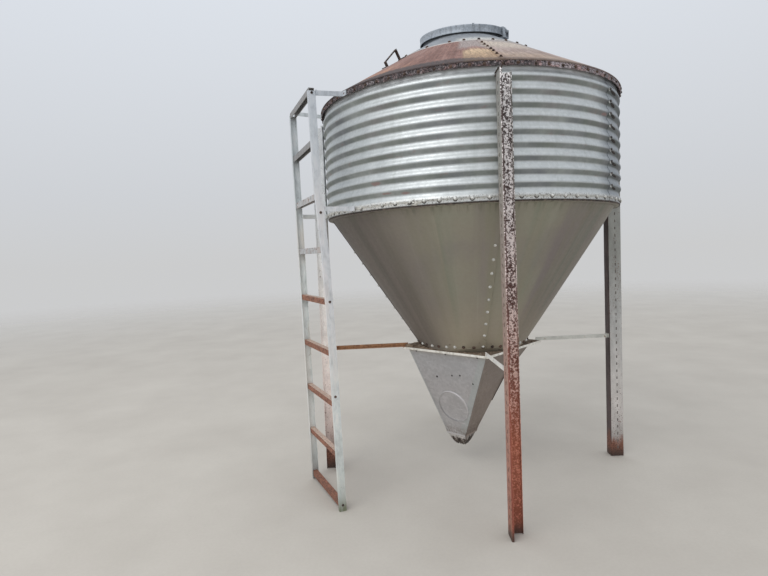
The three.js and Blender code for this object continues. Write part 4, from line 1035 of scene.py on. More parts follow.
ji = np.array([cyl(az, 0.9158 + 0 * az, 1.6600 + wob), cyl(az, 0.9158 + 0 * az, 1.6635 + wob * 0.5), cyl(az, 0.9158 + 0 * az, 1.6665)])
v, f = shell(jo, ji, wrap=True)
g.add(v, f)
for a_, z_, w_, h_, t_, sd in ((-32.0, 1.6830, 0.011, 0.0075, 0.0050, 21), (-29.6, 1.6780, 0.009, 0.0065, 0.0045, 22), (-27.2, 1.6825, 0.012, 0.0060, 0.0040, 23), (-24.9, 1.6770, 0.008, 0.0050, 0.0035, 24)):
    v, f = blob(a_, z_, 0.9188, w_, h_, t_, sd)
    g.add(v, f)
piece("wall_foot_joint", g, [STRAP], angle=50)


# ------------------------------------------------------------------ eave rim
def ring_shell(profile_out, profile_in, n, displace):
    az = np.radians(np.arange(n) * 360.0 / n)
    O = np.array([cyl(az, r + displace(np.degrees(az), z)[0], z + displace(np.degrees(az), z)[1]) for r, z in profile_out])
    I = np.array([cyl(az, r + displace(np.degrees(az), z)[0], z + displace(np.degrees(az), z)[1]) for r, z in profile_in])
    return shell(O, I, wrap=True)


def rim_wave(a, z):
    p = np.stack(np.broadcast_arrays(np.cos(np.radians(a)) * 9, np.sin(np.radians(a)) * 9, z * 30), -1)
    q = np.stack(np.broadcast_arrays(np.cos(np.radians(a)) * 30, np.sin(np.radians(a)) * 30, 0.0), -1)
    low = 1 - smooth(z, 2.304, 2.314)
    return (fbm(p, 11) - 0.5) * 0.0022, (fbm(q, 13) - 0.5) * 0.009 * low


out = [(0.9296, 2.3045), (0.9303, 2.3060), (0.9305, 2.310), (0.9303, 2.316), (0.9305, 2.324), (0.9312, 2.3305), (0.9300, 2.3335)]
inn = [(0.9268, 2.3045), (0.9267, 2.3060), (0.9267, 2.310), (0.9266, 2.316), (0.9266, 2.324), (0.9266, 2.3305), (0.9266, 2.3335)]
v, f = ring_shell(out, inn, 480, rim_wave)
piece("eave_rim_fine", Geo().add(v, f), [RIM], ["eave_rim"], angle=50)
places = []
for k in range(72):
    a = 2.2 + 5 * k + (rnd(k, 7) - 0.5) * 0.9
    places.append((cyl(R(a), 0.9302, 2.316 + (rnd(k, 8) - 0.5) * 0.003), cyl(R(a), 1, 0)))
piece("eave_rim_bolts", scatter(head(0.0060, 0.0052, 0.0088, 0.0012, True), places, seed=3, tilt=0.15), [BOLT_RUST])

# ------------------------------------------------------------------ roof
ROOF_SEAM = -87.2


def roof_z(r, az):
    """Outer face of the roof: a plain cone, very slightly uneven."""
    r = np.asarray(r, float)
    p = np.stack(np.broadcast_arrays(r * np.cos(np.radians(az)) * 5, r * np.sin(np.radians(az)) * 5, 0.0), -1)
    return 2.7048 - (r - 0.300) * 0.58483 + (fbm(p, 21, 2) - 0.5) * 0.004 * smooth(r, 0.93, 0.85) * smooth(r, 0.47, 0.55)


rr = np.concatenate([[0.934, 0.931], np.linspace(0.925, 0.30, 40)])[::-1]
for i, side in enumerate(["right", "back", "left", "front"]):
    a0 = ROOF_SEAM + 90 * i
    s = np.linspace(0, 1, 85)
    over = 0.020  # this end lies over its neighbour
    A0 = a0 - np.degrees(0.022 / rr)
    A1 = a0 + 90 + np.degrees(0.018 / rr)
    A = A0[:, None] + (A1 - A0)[:, None] * s[None, :]
    RR = np.repeat(rr[:, None], len(s), 1)
    arc = np.radians(A - a0) * RR
    lap = 0.0022 * (1 - smooth(arc, 0.018, 0.045))
    Z = roof_z(RR, A) + lap
    drop = (RR > 0.9335) * 0.004
    O = cyl(np.radians(A), RR, Z - drop)
    I = cyl(np.radians(A), RR - 0.0006, Z - 0.0016 - drop)
    # rows run from the top down to the eave, so they are turned over for outward faces
    v, f = shell(O[::-1], I[::-1])
    c = np.stack([np.radians(A) * 0.6, RR, np.zeros_like(RR)], -1)[::-1].reshape(-1, 3)
    piece("roof_panel_fine_" + side, Geo().add(v, f, cyl=np.tile(c, (2, 1))), [ROOF], ["roof_panel_" + side], angle=50)


def roof_normal(r, az):
    h = 0.004
    dz = float(roof_z(r + h, az) - roof_z(r - h, az)) / (2 * h)
    return np.array([-dz * math.cos(R(az)), -dz * math.sin(R(az)), 1.0])


places = []
for i in range(4):
    for r in (0.546, 0.602, 0.656, 0.722, 0.774, 0.838, 0.900):
        az = ROOF_SEAM + 90 * i + math.degrees(-0.010 / r) + (rnd(i, int(r * 1000)) - 0.5) * 0.3
        places.append((cyl(R(az), r, float(roof_z(r, az)) + 0.0022), roof_normal(r, az)))
piece("roof_seam_bolts", scatter(head(0.0066, 0.0065, 0.0095, 0.0014, True), places, seed=4, tilt=0.12), [BOLT_RUST])

# ------------------------------------------------------------------ filling collar: tube, roof flange and its bolts
n = 192
az = np.arange(n) * 360.0 / n
o_rows, i_rows = [], []
for r, dz in ((0.4660, 0.0008), (0.4655, 0.0030), (0.4600, 0.0032), (0.4200, 0.0030), (0.3700, 0.0030), (0.3200, 0.0030), (0.2900, 0.0031), (0.2675, 0.0036), (0.2610, 0.0062), (0.2575, 0.0110)):
    wv = (fbm(np.stack([np.cos(np.radians(az)) * 7, np.sin(np.radians(az)) * 7, az * 0 + r * 4], -1), 23) - 0.5) * 0.0016 * (r > 0.30)
    o_rows.append(cyl(np.radians(az), r, roof_z(np.full(n, r), az) + dz + wv))
    i_rows.append(cyl(np.radians(az), r - (0.0015 if r < 0.27 else 0.0), roof_z(np.full(n, r), az) + min(dz - 0.0018, 0.0014) + wv * 0.3))
foot_z = o_rows[-1][:, 2]
top_z = 2.7975 + 0.115 * 0.2562 * np.sin(np.radians(az))
for t in (0.25, 0.5, 0.75, 0.96, 1.0):
    o_rows.append(cyl(np.radians(az), 0.2562 - (0.0006 if t == 1 else 0), foot_z + (top_z - foot_z) * t))
    i_rows.append(cyl(np.radians(az), 0.2542 + (0.0003 if t == 1 else 0), foot_z + (top_z - foot_z) * t))
v, f = shell(np.array(o_rows), np.array(i_rows), wrap=True)
g = Geo()
g.add(v, f[:1], 1)
g.f = []
# the flange's rows take the flange finish, the tube's rows the collar's
quads = f[0].reshape(len(o_rows) - 1, n, 4)
g.f.append((quads[:8].reshape(-1, 4), 0))
g.f.append((quads[8:].reshape(-1, 4), 1))
for q in f[1:]:
    g.f.append((q, 1))
piece("filling_collar_fine", g, [FLANGE, COLLAR], ["filling_collar"], angle=50)
places = []
for k in range(34):
    if k == 32:  # one is missing
        continue
    a = -108.57 + 10.389 * k + (rnd(k, 61) - 0.5) * 0.4
    r = 0.4570
    places.append((cyl(R(a), r, float(roof_z(r, a)) + 0.0028), roof_normal(r, a)))
piece("collar_ring_bolts", scatter(head(0.0078, 0.0056, 0.0105, 0.0014, True), places, seed=5, tilt=0.10), [BOLT_RUST])

# ------------------------------------------------------------------ lid
LID_TILT = math.atan(0.115)


def tilt_lid(v):
    """The lid lies a little out of level, about a line along X at the height of its lower edge."""
    v = np.asarray(v, float)
    y, z = v[:, 1], v[:, 2] - 2.765
    return np.column_stack([v[:, 0] + 0.004, y * math.cos(LID_TILT) - z * math.sin(LID_TILT), 2.765 + y * math.sin(LID_TILT) + z * math.cos(LID_TILT)])


prof = [
    (0.2760, 2.7653), (0.2779, 2.7662), (0.2784, 2.7700), (0.2771, 2.7737), (0.2767, 2.7830), (0.2771, 2.7970), (0.2781, 2.8025), (0.2784, 2.8066),
    (0.2769, 2.8086), (0.2705, 2.8096), (0.2320, 2.8117), (0.1550, 2.8162), (0.0780, 2.8205), (0.0300, 2.8231), (0.0, 2.8239),
    (0.0, 2.8221), (0.0780, 2.8187), (0.1550, 2.8144), (0.2320, 2.8099), (0.2685, 2.8077), (0.2750, 2.8062), (0.2750, 2.7656),
]
v, f = lathe(prof, 160)
g = Geo().add(tilt_lid(v), f)
# two small catches on the rim of the lid
for a, w, h_ in ((-86.4, 0.007, 2.8125), (72.0, 0.008, 2.8095)):
    t = rounded([(0.2755, -w), (0.2793, -w), (0.2793, w), (0.2755, w)], 0.0018, 3)
    pv, pf = prism(t, 2.800, h_)
    g.add(tilt_lid(turn(pv, a)), pf)
v, q, t = head(0.016, 0.010, 0.028, 0.002)
v = v * np.array([1, 1, 0.20]) + np.array([0, 0, 2.8230])
g.add(tilt_lid(v), [q, t])
piece("lid_fine", g, [LID], ["lid"], body="lid", angle=45)


# ------------------------------------------------------------------ hopper
HOP = lambda z: 0.3552 + (z - 0.843) * (0.9116 - 0.3552) / (1.6934 - 0.843)
SLOPE = (0.9116 - 0.3552) / (1.6934 - 0.843)
HOP_SEAM = -89.0


def hop_dent(az, z):
    p = np.stack(np.broadcast_arrays(np.cos(np.radians(az)) * 3.2, np.sin(np.radians(az)) * 3.2, z * 2.2), -1)
    return (fbm(p, 31, 2) - 0.5) * 0.0060


zz = np.linspace(0.843, 1.672, 44)
for i, side in enumerate(["right", "back", "left", "front"]):
    a0 = HOP_SEAM + 90 * i
    r_mid = HOP(zz)
    A0 = a0 - np.degrees(0.020 / r_mid)
    A1 = a0 + 90 + np.degrees(0.017 / r_mid)
    s = np.linspace(0, 1, 73)
    A = A0[:, None] + (A1 - A0)[:, None] * s[None, :]
    Zg = np.repeat(zz[:, None], len(s), 1)
    arc = np.radians(a0 + 90 - A) * np.repeat(r_mid[:, None], len(s), 1)
    lap = (0.0060 if i == 3 - 3 else 0.0030) * (1 - smooth(arc, 0.020, 0.050))  # the far end lies over the next panel
    hem = 0.0018 * (1 - smooth(arc, -0.016, -0.011))
    RR = HOP(Zg) + hop_dent(A, Zg) * smooth(Zg, 0.86, 1.0) * smooth(Zg, 1.66, 1.5) + lap + hem - 0.002
    O = cyl(np.radians(A), RR, Zg)
    I = cyl(np.radians(A), RR - 0.0018, Zg)
    v, f = shell(O, I)
    c = np.stack([np.radians(A) * 0.6, Zg, np.zeros_like(Zg)], -1).reshape(-1, 3)
    piece("hopper_panel_fine_" + side, Geo().add(v, f, cyl=np.tile(c, (2, 1))), [HOPPER], ["hopper_panel_" + side], angle=40)
places = []
for i in range(4):
    for k in range(-8, 1):
        z = 1.453 + 0.0752 * k
        r = HOP(z)
        a = HOP_SEAM + 90 * i + (rnd(i, k + 20) - 0.5) * 0.25
        places.append((cyl(R(a), r + 0.0008, z), cyl(R(a), 1, -SLOPE)))
piece("hopper_seam_bolts", scatter(head(0.0074, 0.0065, 0.0100, 0.0014), places, seed=6, tilt=0.08), [BOLT_LIGHT])

# rolled ring that the hopper hangs from, inside the foot of the wall
ring_out = [(0.8866, 1.6560), (0.8960, 1.6562), (0.9060, 1.6578), (0.9125, 1.6605), (0.9152, 1.6650), (0.9158, 1.6760), (0.9158, 1.6990)]
ring_in = [(0.8866, 1.6585), (0.8955, 1.6588), (0.9050, 1.6602), (0.9108, 1.6625), (0.9128, 1.6665), (0.9132, 1.6760), (0.9132, 1.6990)]
az = np.radians(np.arange(288) * 1.25)
v, f = shell(np.array([cyl(az, r, z) for r, z in ring_out]), np.array([cyl(az, r, z) for r, z in ring_in]), wrap=True)
cc = np.array([[[a * 0.9, z, 0] for a in az] for r, z in ring_out]).reshape(-1, 3)
piece("hopper_top_ring_fine", Geo().add(v, f, cyl=np.tile(cc, (2, 1))), [HOPPER], ["hopper_top_ring"], angle=50)

# neck ring between cone and plate, with the bolts of the cone's foot
neck = [(0.3060, 0.8125), (0.3262, 0.8125), (0.3275, 0.8150), (0.3540, 0.8405), (0.3540, 0.8425), (0.3340, 0.8425)]
v, f = lathe(neck, 160)
vv = v.copy()
cc = np.stack([np.arctan2(vv[:, 1], vv[:, 0]) * 0.33, vv[:, 2], np.zeros(len(vv))], -1)
piece("hopper_neck_ring_fine", Geo().add(v, f, cyl=cc), [HOPPER], ["hopper_neck_ring"], angle=30)
places = [[], []]
for k in range(40):
    a = -89 + 9 * k + (rnd(k, 12) - 0.5) * 1.2
    z = 0.8475 + (rnd(k, 13) - 0.5) * 0.004
    places[1 if rnd(k, 14) < 0.76 else 0].append((cyl(R(a), HOP(z) - 0.001, z), cyl(R(a), 1, -SLOPE)))
piece("hopper_foot_bolts", scatter(head(0.0078, 0.0070, 0.0105, 0.0014), places[0], seed=7, tilt=0.12), [BOLT_LIGHT])
piece("hopper_foot_bolts_rusted", scatter(head(0.0078, 0.0070, 0.0105, 0.0014), places[1], seed=17, tilt=0.12), [BOLT_RUST])

# ------------------------------------------------------------------ boot plate
BOOT_ROT = 1.7


def square(hd, cx=0.0, cy=0.0):
    """Corners at the left, front, right and back, from one half diagonal or four."""
    hds = hd if hasattr(hd, "__len__") else [hd] * 4
    return [np.array([cx + h * math.cos(R(a + BOOT_ROT)), cy + h * math.sin(R(a + BOOT_ROT))]) for h, a in zip(hds, (180, 270, 0, 90))]


def plate_geo():
    """Square plate with a round hole, its edges folded down in a small bend."""
    g = Geo()
    n = 160
    ang = np.arange(n) * 2 * math.pi / n + R(BOOT_ROT)

    def on_square(hd):
        out = []
        for t in ang:
            q = t - R(BOOT_ROT)
            k = 1.0 / (abs(math.cos(q)) + abs(math.sin(q)))
            out.append([hd * k * math.cos(t), hd * k * math.sin(t)])
        return np.array(out)

    hole = np.stack([0.279 * np.cos(ang), 0.279 * np.sin(ang)], -1)
    rings = []
    for t in np.linspace(0, 1, 13):
        edge = on_square(0.4615)
        xy = hole * (1 - t) + edge * t
        p = np.column_stack([xy * 6, np.zeros(n)])
        bow = (fbm(p, 41, 2) - 0.5) * 0.004 * math.sin(math.pi * t)
        rings.append(np.column_stack([xy, 0.8118 + bow]))
    for hd, z in ((0.4635, 0.8112), (0.4645, 0.8095), (0.4648, 0.8060), (0.4648, 0.7975)):
        rings.append(np.column_stack([on_square(hd), np.full(n, z)]))
    inner = []
    for i, rg in enumerate(rings):
        if i <= 12:
            inner.append(rg - np.array([0, 0, 0.0020]))
        else:
            k = i - 13
            hd, z = ((0.4620, 0.8095), (0.4626, 0.8085), (0.4628, 0.8055), (0.4628, 0.7975))[k]
            inner.append(np.column_stack([on_square(hd), np.full(n, z)]))
    # rows from the rim inwards, so that the outer faces point out
    v, f = shell(np.array(rings[::-1]), np.array(inner[::-1]), wrap=True)
    return g.add(v, f)


piece("boot_top_plate_fine", plate_geo(), [PLATE], ["boot_top_plate"], angle=35)

# dirt that has settled on the plate round the cone's foot, heaped at the left corner
n = 240
ang = np.arange(n) * 2 * math.pi / n
reach = 0.4560 / (np.abs(np.cos(ang - R(BOOT_ROT))) + np.abs(np.sin(ang - R(BOOT_ROT))))
reach = np.maximum(reach, 0.3290)
gap_ = (np.degrees(ang) - 181 + 180) % 360 - 180
heap = np.exp(-((gap_ / 17.0) ** 2)) + 0.45 * np.exp(-(((gap_ - 32) / 20.0) ** 2))
o_rows = []
for k, t in enumerate(np.linspace(1, 0, 15)):
    r = 0.3270 + (reach - 0.3270) * t
    p = np.column_stack([r * np.cos(ang) * 55, r * np.sin(ang) * 55, np.zeros(n)])
    bump_ = fbm(p, 45, 3)
    body_ = math.sin(math.pi * min(1, t * 1.02)) ** 0.5 if t < 0.98 else 0.0
    h = (0.0012 + 0.0045 * bump_ + heap * (0.006 + 0.014 * bump_)) * (0.35 + 0.65 * body_) * (t < 0.99)
    o_rows.append(np.column_stack([r * np.cos(ang), r * np.sin(ang), 0.8126 + h]))
o_rows = np.array(o_rows)
i_rows = o_rows.copy()
i_rows[:, :, 2] = 0.8119
v, f = shell(o_rows, i_rows, wrap=True)
piece("plate_dirt", Geo().add(v, f), [DIRT], angle=60)
lump = head(0.0048, 0.0052, 0.0062, 0.0022, seg=7)
places = []
for k in range(150):
    a = 181 + (rnd(k, 91) + rnd(k, 92) + rnd(k, 93) - 1.5) * (75 if k < 110 else 230)
    q = R(a - BOOT_ROT)
    rmax = 0.452 / (abs(math.cos(q)) + abs(math.sin(q)))
    if rmax < 0.337:
        continue
    r = 0.334 + (rmax - 0.334) * rnd(k, 94)
    up_ = math.exp(-(((a - 181) / 17.0) ** 2))
    places.append((np.array([r * math.cos(R(a)), r * math.sin(R(a)), 0.8135 + 0.010 * up_]), np.array([rnd(k, 95) - 0.5, rnd(k, 96) - 0.5, 0.6 + rnd(k, 97)])))
piece("plate_crumbs", scatter(lump, places, seed=19, tilt=0.9), [DIRT], angle=20)

# ------------------------------------------------------------------ boot walls
SHIFT = (-0.078, 0.027)
BOOT_TOP, BOOT_BOT = (0.428, 0.428, 0.400, 0.405), (0.101, 0.101, 0.091, 0.101)
outT, outB = square(BOOT_TOP), square(BOOT_BOT, *SHIFT)
Z_TOP, Z_BOT = 0.8055, 0.2050


def boot_edge(i, z):
    """Points down corner i of the boot; the right corner's fold is bent in."""
    z = np.asarray(z, float)
    f = ((Z_TOP - z) / (Z_TOP - Z_BOT))[:, None]
    p = outT[i] * (1 - f) + outB[i] * f
    if i == 2:
        p[:, 0] -= np.interp(z, [Z_BOT, 0.425, 0.575, Z_TOP], [0, 0.024, 0.038, 0])
    return np.column_stack([p, z])


T0, T1 = np.append(outT[0], Z_TOP), np.append(outT[1], Z_TOP)
B0, B1 = np.append(outB[0], Z_BOT), np.append(outB[1], Z_BOT)
EX = (T1 - T0) / np.linalg.norm(T1 - T0)
DISC_MID = (T0 + T1) / 2 * (1 - 0.645) + (B0 + B1) / 2 * 0.645 + EX * 0.0087
DISC_N = np.cross(T1 - T0, B0 - T0)
DISC_N /= np.linalg.norm(DISC_N)
if DISC_N @ np.append((outT[0] + outT[1]) / 2, 0) < 0:
    DISC_N = -DISC_N

boot_grid = {}
for i, side in enumerate(["front_left", "front_right", "back_right", "back_left"]):
    j = (i + 1) % 4
    nu, nv = 32, 44
    S1 = np.linspace(0, 1, nu)
    t1 = np.linspace(0, 1, nv) ** 1.0
    zs = Z_BOT + (Z_TOP - Z_BOT) * t1
    E0, E1 = boot_edge(i, zs), boot_edge(j, zs)
    S, Tt = np.meshgrid(S1, t1)  # rows go up from the bottom edge
    P = E0[:, None, :] * (1 - S)[..., None] + E1[:, None, :] * S[..., None]
    N = np.cross((E1 - E0)[:, None, :], np.gradient(P, axis=0))
    N /= np.linalg.norm(N, axis=-1, keepdims=True)
    if np.sum(N[nv // 2, nu // 2, :2] * (outT[i] + outT[j]) / 2) < 0:
        N = -N
    boot_grid[side] = (i, j, N[nv // 2, nu // 2])
    mask = np.sin(math.pi * S) ** 0.6 * np.sin(math.pi * Tt) ** 0.6
    if i == 0:
        mask = mask * smooth(np.linalg.norm(P - DISC_MID, axis=-1), 0.108, 0.17)
    bulge = (fbm(np.stack([P[..., 0] * 5, P[..., 1] * 5, P[..., 2] * 5], -1), 51 + i, 2) - 0.5) * 0.010 * mask
    edge_off = np.sin(math.pi * S) ** 0.3
    bulge = bulge + 0.0034 * np.exp(-(((Tt - 0.088) / 0.011) ** 2)) * edge_off * (0.4 + 0.6 * fbm(np.stack([S * 5, Tt * 2, S * 0], -1), 58 + i))
    bulge = bulge - 0.0022 * np.exp(-(((Tt - 0.112) / 0.012) ** 2)) * edge_off
    bulge = bulge + 0.0060 * (1 - smooth(Tt, 0.0, 0.045))
    O = P + bulge[..., None] * N
    I = O - 0.0016 * N
    v, f = shell(O, I)
    g = Geo().add(v, f)
    # folded strips along the two slanted edges
    for e_, other, wid in ((i, j, 0.013), (j, i, 0.041 if i == 0 else 0.013)):
        m_ = 34
        z_ = np.linspace(Z_TOP - 0.002, Z_BOT + 0.002, m_)
        line, far = boot_edge(e_, z_), boot_edge(other, z_)
        along = np.gradient(line, axis=0)
        along /= np.linalg.norm(along, axis=1, keepdims=True)
        inward = far - line
        inward = inward - along * np.sum(inward * along, axis=1, keepdims=True)
        inward /= np.linalg.norm(inward, axis=1, keepdims=True)
        nrm = np.cross(along, inward)
        if np.sum(nrm[m_ // 2] * N[nv // 2, nu // 2]) < 0:
            nrm = -nrm
        width_ = np.minimum(wid * (1 + 0.12 * (fbm(np.stack([z_ * 40, z_ * 0, z_ * 0 + i], -1), 61) - 0.5)), 0.40 * np.linalg.norm(far - line, axis=1))
        lift = 0.0060 * (1 - smooth((z_ - Z_BOT) / (Z_TOP - Z_BOT), 0.0, 0.045))
        sec = [(0.0, 0.0002), (0.0, 0.0016), (0.93, 0.0018), (1.0, 0.0010), (1.0, 0.0002)]
        V = np.array([line + inward * np.maximum(a_ * width_, 0.0006)[:, None] + nrm * (h_ + lift)[:, None] for a_, h_ in sec])
        ns = len(sec)
        idx = np.arange(ns * m_).reshape(ns, m_)
        qs = []
        for a_ in range(ns):
            b_ = (a_ + 1) % ns
            qs.append(np.stack([idx[a_, :-1], idx[a_, 1:], idx[b_, 1:], idx[b_, :-1]], -1))
        q = np.concatenate(qs)
        ends = [idx[:, 0][::-1][None, :], idx[:, -1][None, :]]
        p0, p1, p2 = V.reshape(-1, 3)[qs[1][0][:3]]
        if np.cross(p1 - p0, p2 - p0) @ nrm[0] < 0:
            q = q[:, ::-1]
            ends = [e[:, ::-1] for e in ends]
        g.add(V.reshape(-1, 3), [q, *ends], strip=np.full(V.shape[0] * V.shape[1], 0.6 if i == 0 and e_ == 1 else 0.35))
    piece("boot_wall_fine_" + side, g, [BOOT if side.endswith("left") else BOOT_SHADED_SIDE], ["boot_wall_" + side], angle=38)

# round knock-out with its pressed ring
ey = np.cross(DISC_N, EX)
prof = [(0.0, 0.0034), (0.040, 0.0036), (0.078, 0.0032), (0.0870, 0.0030), (0.0888, 0.0016), (0.0905, 0.0030), (0.0965, 0.0034), (0.0990, 0.0060), (0.1012, 0.0070), (0.1030, 0.0052), (0.1038, 0.0020), (0.1038, -0.0010), (0.0, -0.0010)]
v, f = lathe([(r * 1.105, z) for r, z in prof][::-1], 120)
vv = DISC_MID + v[:, :1] * EX + v[:, 1:2] * ey + v[:, 2:] * DISC_N
q = f[0]
if np.dot(np.cross(EX, ey), DISC_N) < 0:
    q = q[:, ::-1]
# lit side of the pressed ring: 1 toward the upper right, -1 toward the lower left, for the painted highlight and shade
# in the boot's finish
ring_lit_side = (np.hypot(v[:, 0], v[:, 1]) > 0.1035) * np.cos(np.arctan2(v[:, 1], v[:, 0]) - R(48))
piece("boot_knock_out", Geo().add(vv, [q], arc=ring_lit_side), [BOOT], ["boot_cover_plate"], angle=30)

# bolts through the walls of the boot: share of the way across, share of the way up
places = []
for side, spots in (
    ("front_left", [(0.296, 0.69), (0.561, 0.73), (0.689, 0.744), (0.905, 0.669), (0.10, 0.97), (0.5, 0.97), (0.9, 0.97)]),
    ("front_right", [(0.2, 0.97), (0.8, 0.97)]),
    ("back_right", [(0.2, 0.86), (0.8, 0.86)]),
    ("back_left", [(0.2, 0.86), (0.8, 0.86)]),
):
    i, j, nrm = boot_grid[side]
    for s_, t_ in spots:
        z_ = np.array([Z_BOT + (Z_TOP - Z_BOT) * t_])
        places.append((boot_edge(i, z_)[0] * (1 - s_) + boot_edge(j, z_)[0] * s_ + 0.001 * nrm, nrm))
piece("boot_bolts", scatter(head(0.0046, 0.0030, 0.0062, 0.0010), places, seed=8), [BOLT_DARK])
# a dark bead down the bent fold at the right corner, standing as painted shadow in the fold
z_ = np.linspace(0.600, 0.415, 14)
line = boot_edge(2, z_)
ring_v = []
for c_ in line:
    th = np.arange(6) * math.pi / 3
    ring_v.append(c_ + np.array([0.001, -0.002, 0]) + 0.0042 * np.column_stack([np.cos(th), np.sin(th), 0 * th]))
ring_q = [[i * 6 + j_, i * 6 + (j_ + 1) % 6, (i + 1) * 6 + (j_ + 1) % 6, (i + 1) * 6 + j_] for i in range(13) for j_ in range(6)]
g = Geo().add(np.concatenate(ring_v), [np.array(ring_q)[:, ::-1], np.arange(6)[None, :], (np.arange(6)[::-1] + 78)[None, :]])
piece("boot_fold_bead", g, [STRAP], angle=70)

# ------------------------------------------------------------------ outlet, crushed in and rotted along its lower edge
n = 128
top, inner = square([h - 0.002 for h in BOOT_BOT], *SHIFT), square([h - 0.0065 for h in BOOT_BOT], *SHIFT)


def round_square(sq, n):
    out = []
    for k in range(n):
        f_ = k / n * 4
        i_ = int(f_) % 4
        t_ = f_ - int(f_)
        out.append(sq[i_] * (1 - t_) + sq[(i_ + 1) % 4] * t_)
    return np.array(out)


ot, it = round_square(top, n), round_square(inner, n)
k = np.arange(n)
ca, sa = np.cos(k * 2 * math.pi / n), np.sin(k * 2 * math.pi / n)
jag = fbm(np.stack([ca * 9, sa * 9, k * 0], -1), 71, 3)
jag2 = fbm(np.stack([ca * 2.6, sa * 2.6, k * 0], -1), 72, 2)
low = 0.1242 + 0.018 * np.clip(jag * 0.8 + jag2 * 0.8 - 0.62, 0, 0.9)
rows_o, rows_i = [], []
for t in np.linspace(0, 1, 12):
    c0 = np.array(SHIFT)
    z = low * (1 - t) + 0.2046 * t
    draw = np.interp(z, [0.124, 0.130, 0.147, 0.180, 0.2046], [0.40, 0.42, 0.60, 0.86, 1.0])[:, None]
    wob = (fbm(np.stack([ca * 7, sa * 7, k * 0 + t * 3], -1), 73, 2) - 0.5) * 0.010 * (1 - t) ** 0.5
    d_o = ot - c0
    ln = np.linalg.norm(d_o, axis=1, keepdims=True)
    rows_o.append(np.column_stack([c0 + d_o * draw + d_o / ln * wob[:, None], z]))
    rows_i.append(np.column_stack([c0 + (it - c0) * draw + d_o / ln * wob[:, None], z]))
v, f = shell(np.array(rows_o), np.array(rows_i), wrap=True)
piece("outlet_spout_fine", Geo().add(v, f), [OUTLET], ["outlet_spout"], angle=35)


# ------------------------------------------------------------------ legs: lipped angle with a row of dark slots down the web
LEG_IN, WEB, FLG, LT, LIP = 0.9255, 0.084, 0.075, 0.0036, 0.012


def leg_outline():
    u = LEG_IN
    pts = [
        (u, 0), (u + WEB, 0), (u + WEB, LIP), (u + WEB - LT, LIP), (u + WEB - LT, LT), (u + LT, LT),
        (u + LT, FLG - LT), (u + LIP, FLG - LT), (u + LIP, FLG), (u, FLG),
    ]
    rad = [0.005, 0.005, 0.0008, 0.0008, 0.0016, 0.0016, 0.0016, 0.0008, 0.0008, 0.005]
    return rounded(pts, rad, 4)


def slots(az, top):
    """Slots down the web: dark fillings that show on both faces, painted shade in place of the open holes."""
    g = Geo()
    z = 0.06
    while z < top - 0.03:
        o = rounded([(-0.0036, -0.0095), (0.0036, -0.0095), (0.0036, 0.0095), (-0.0036, 0.0095)], 0.0034, 3)
        v, f = prism(o, -LT - 0.00035, 0.00035)
        # the outline lies in x and z, and the prism runs through the web along y
        w = np.column_stack([LEG_IN + 0.044 + v[:, 0], -v[:, 2], z + v[:, 1] + (rnd(int(z * 1000), az + 200) - 0.5) * 0.002])
        g.add(turn(w, az), f)
        z += 0.0478
    return g


for side, a in {"front": -90, "right": 0, "back": 90, "left": 180}.items():
    v, f = prism(leg_outline(), 0.0, 2.2695, 24)
    v[:, 0] += (fbm(np.stack([v[:, 2] * 2.2, v[:, 0] * 0, v[:, 0] * 0 + a], -1), 81, 2) - 0.5) * 0.0016
    v[:, 0] = np.minimum(v[:, 0], LEG_IN + WEB - 0.0001)
    mat_ = {"front": LEG_A, "left": LEG_C, "back": LEG_D}.get(side, LEG_B)
    piece("leg_fine_" + side, Geo().add(turn(v, a), f), [mat_], ["leg_" + side], angle=28)
    if side != "left":  # those of the left leg are open and pale
        piece("leg_slots_" + side, slots(a, 2.27), [SLOT_SHADE if side == "front" else SLOT_SHADE_DULL], angle=28)

# bolts through each leg's flange, one in each corrugation
places = []
for a in (-90, 0, 90, 180):
    for k in range(10):
        z = CREST + PITCH * k + 0.002
        if z > 2.26:
            break
        p = turn([[LEG_IN + LT, 0.022, z]], a)[0]
        places.append((p, turn([[1, 0, 0]], a)[0]))
piece("leg_bolts", scatter(head(0.0075, 0.0065, 0.0105, 0.0015, True), places, seed=9, tilt=0.1), [BOLT_RUST])

# dark caked edge along the top of the front leg's web
v, f = prism(rounded([(-1.0095, -0.0016), (-0.9290, -0.0016), (-0.9290, 0.0052), (-1.0095, 0.0052)], 0.0010, 3), 2.2665, 2.2698, 2)
w = np.column_stack([v[:, 1] - 0.0040, v[:, 0], v[:, 2] + (fbm(np.column_stack([v[:, 0] * 60, v[:, 1] * 0, v[:, 1] * 0]), 33) - 0.5) * 0.0018 * (v[:, 2] < 2.268)])
piece("leg_front_cap", Geo().add(w, f), [STRAP], angle=40)

# strap from the top of the front leg to a bolt of the rim
P = [np.array([-0.003, -0.9345, 2.250]), np.array([-0.001, -0.9350, 2.258]), np.array([0.0275, -0.9352, 2.2950]), np.array([0.0310, -0.9345, 2.3010])]


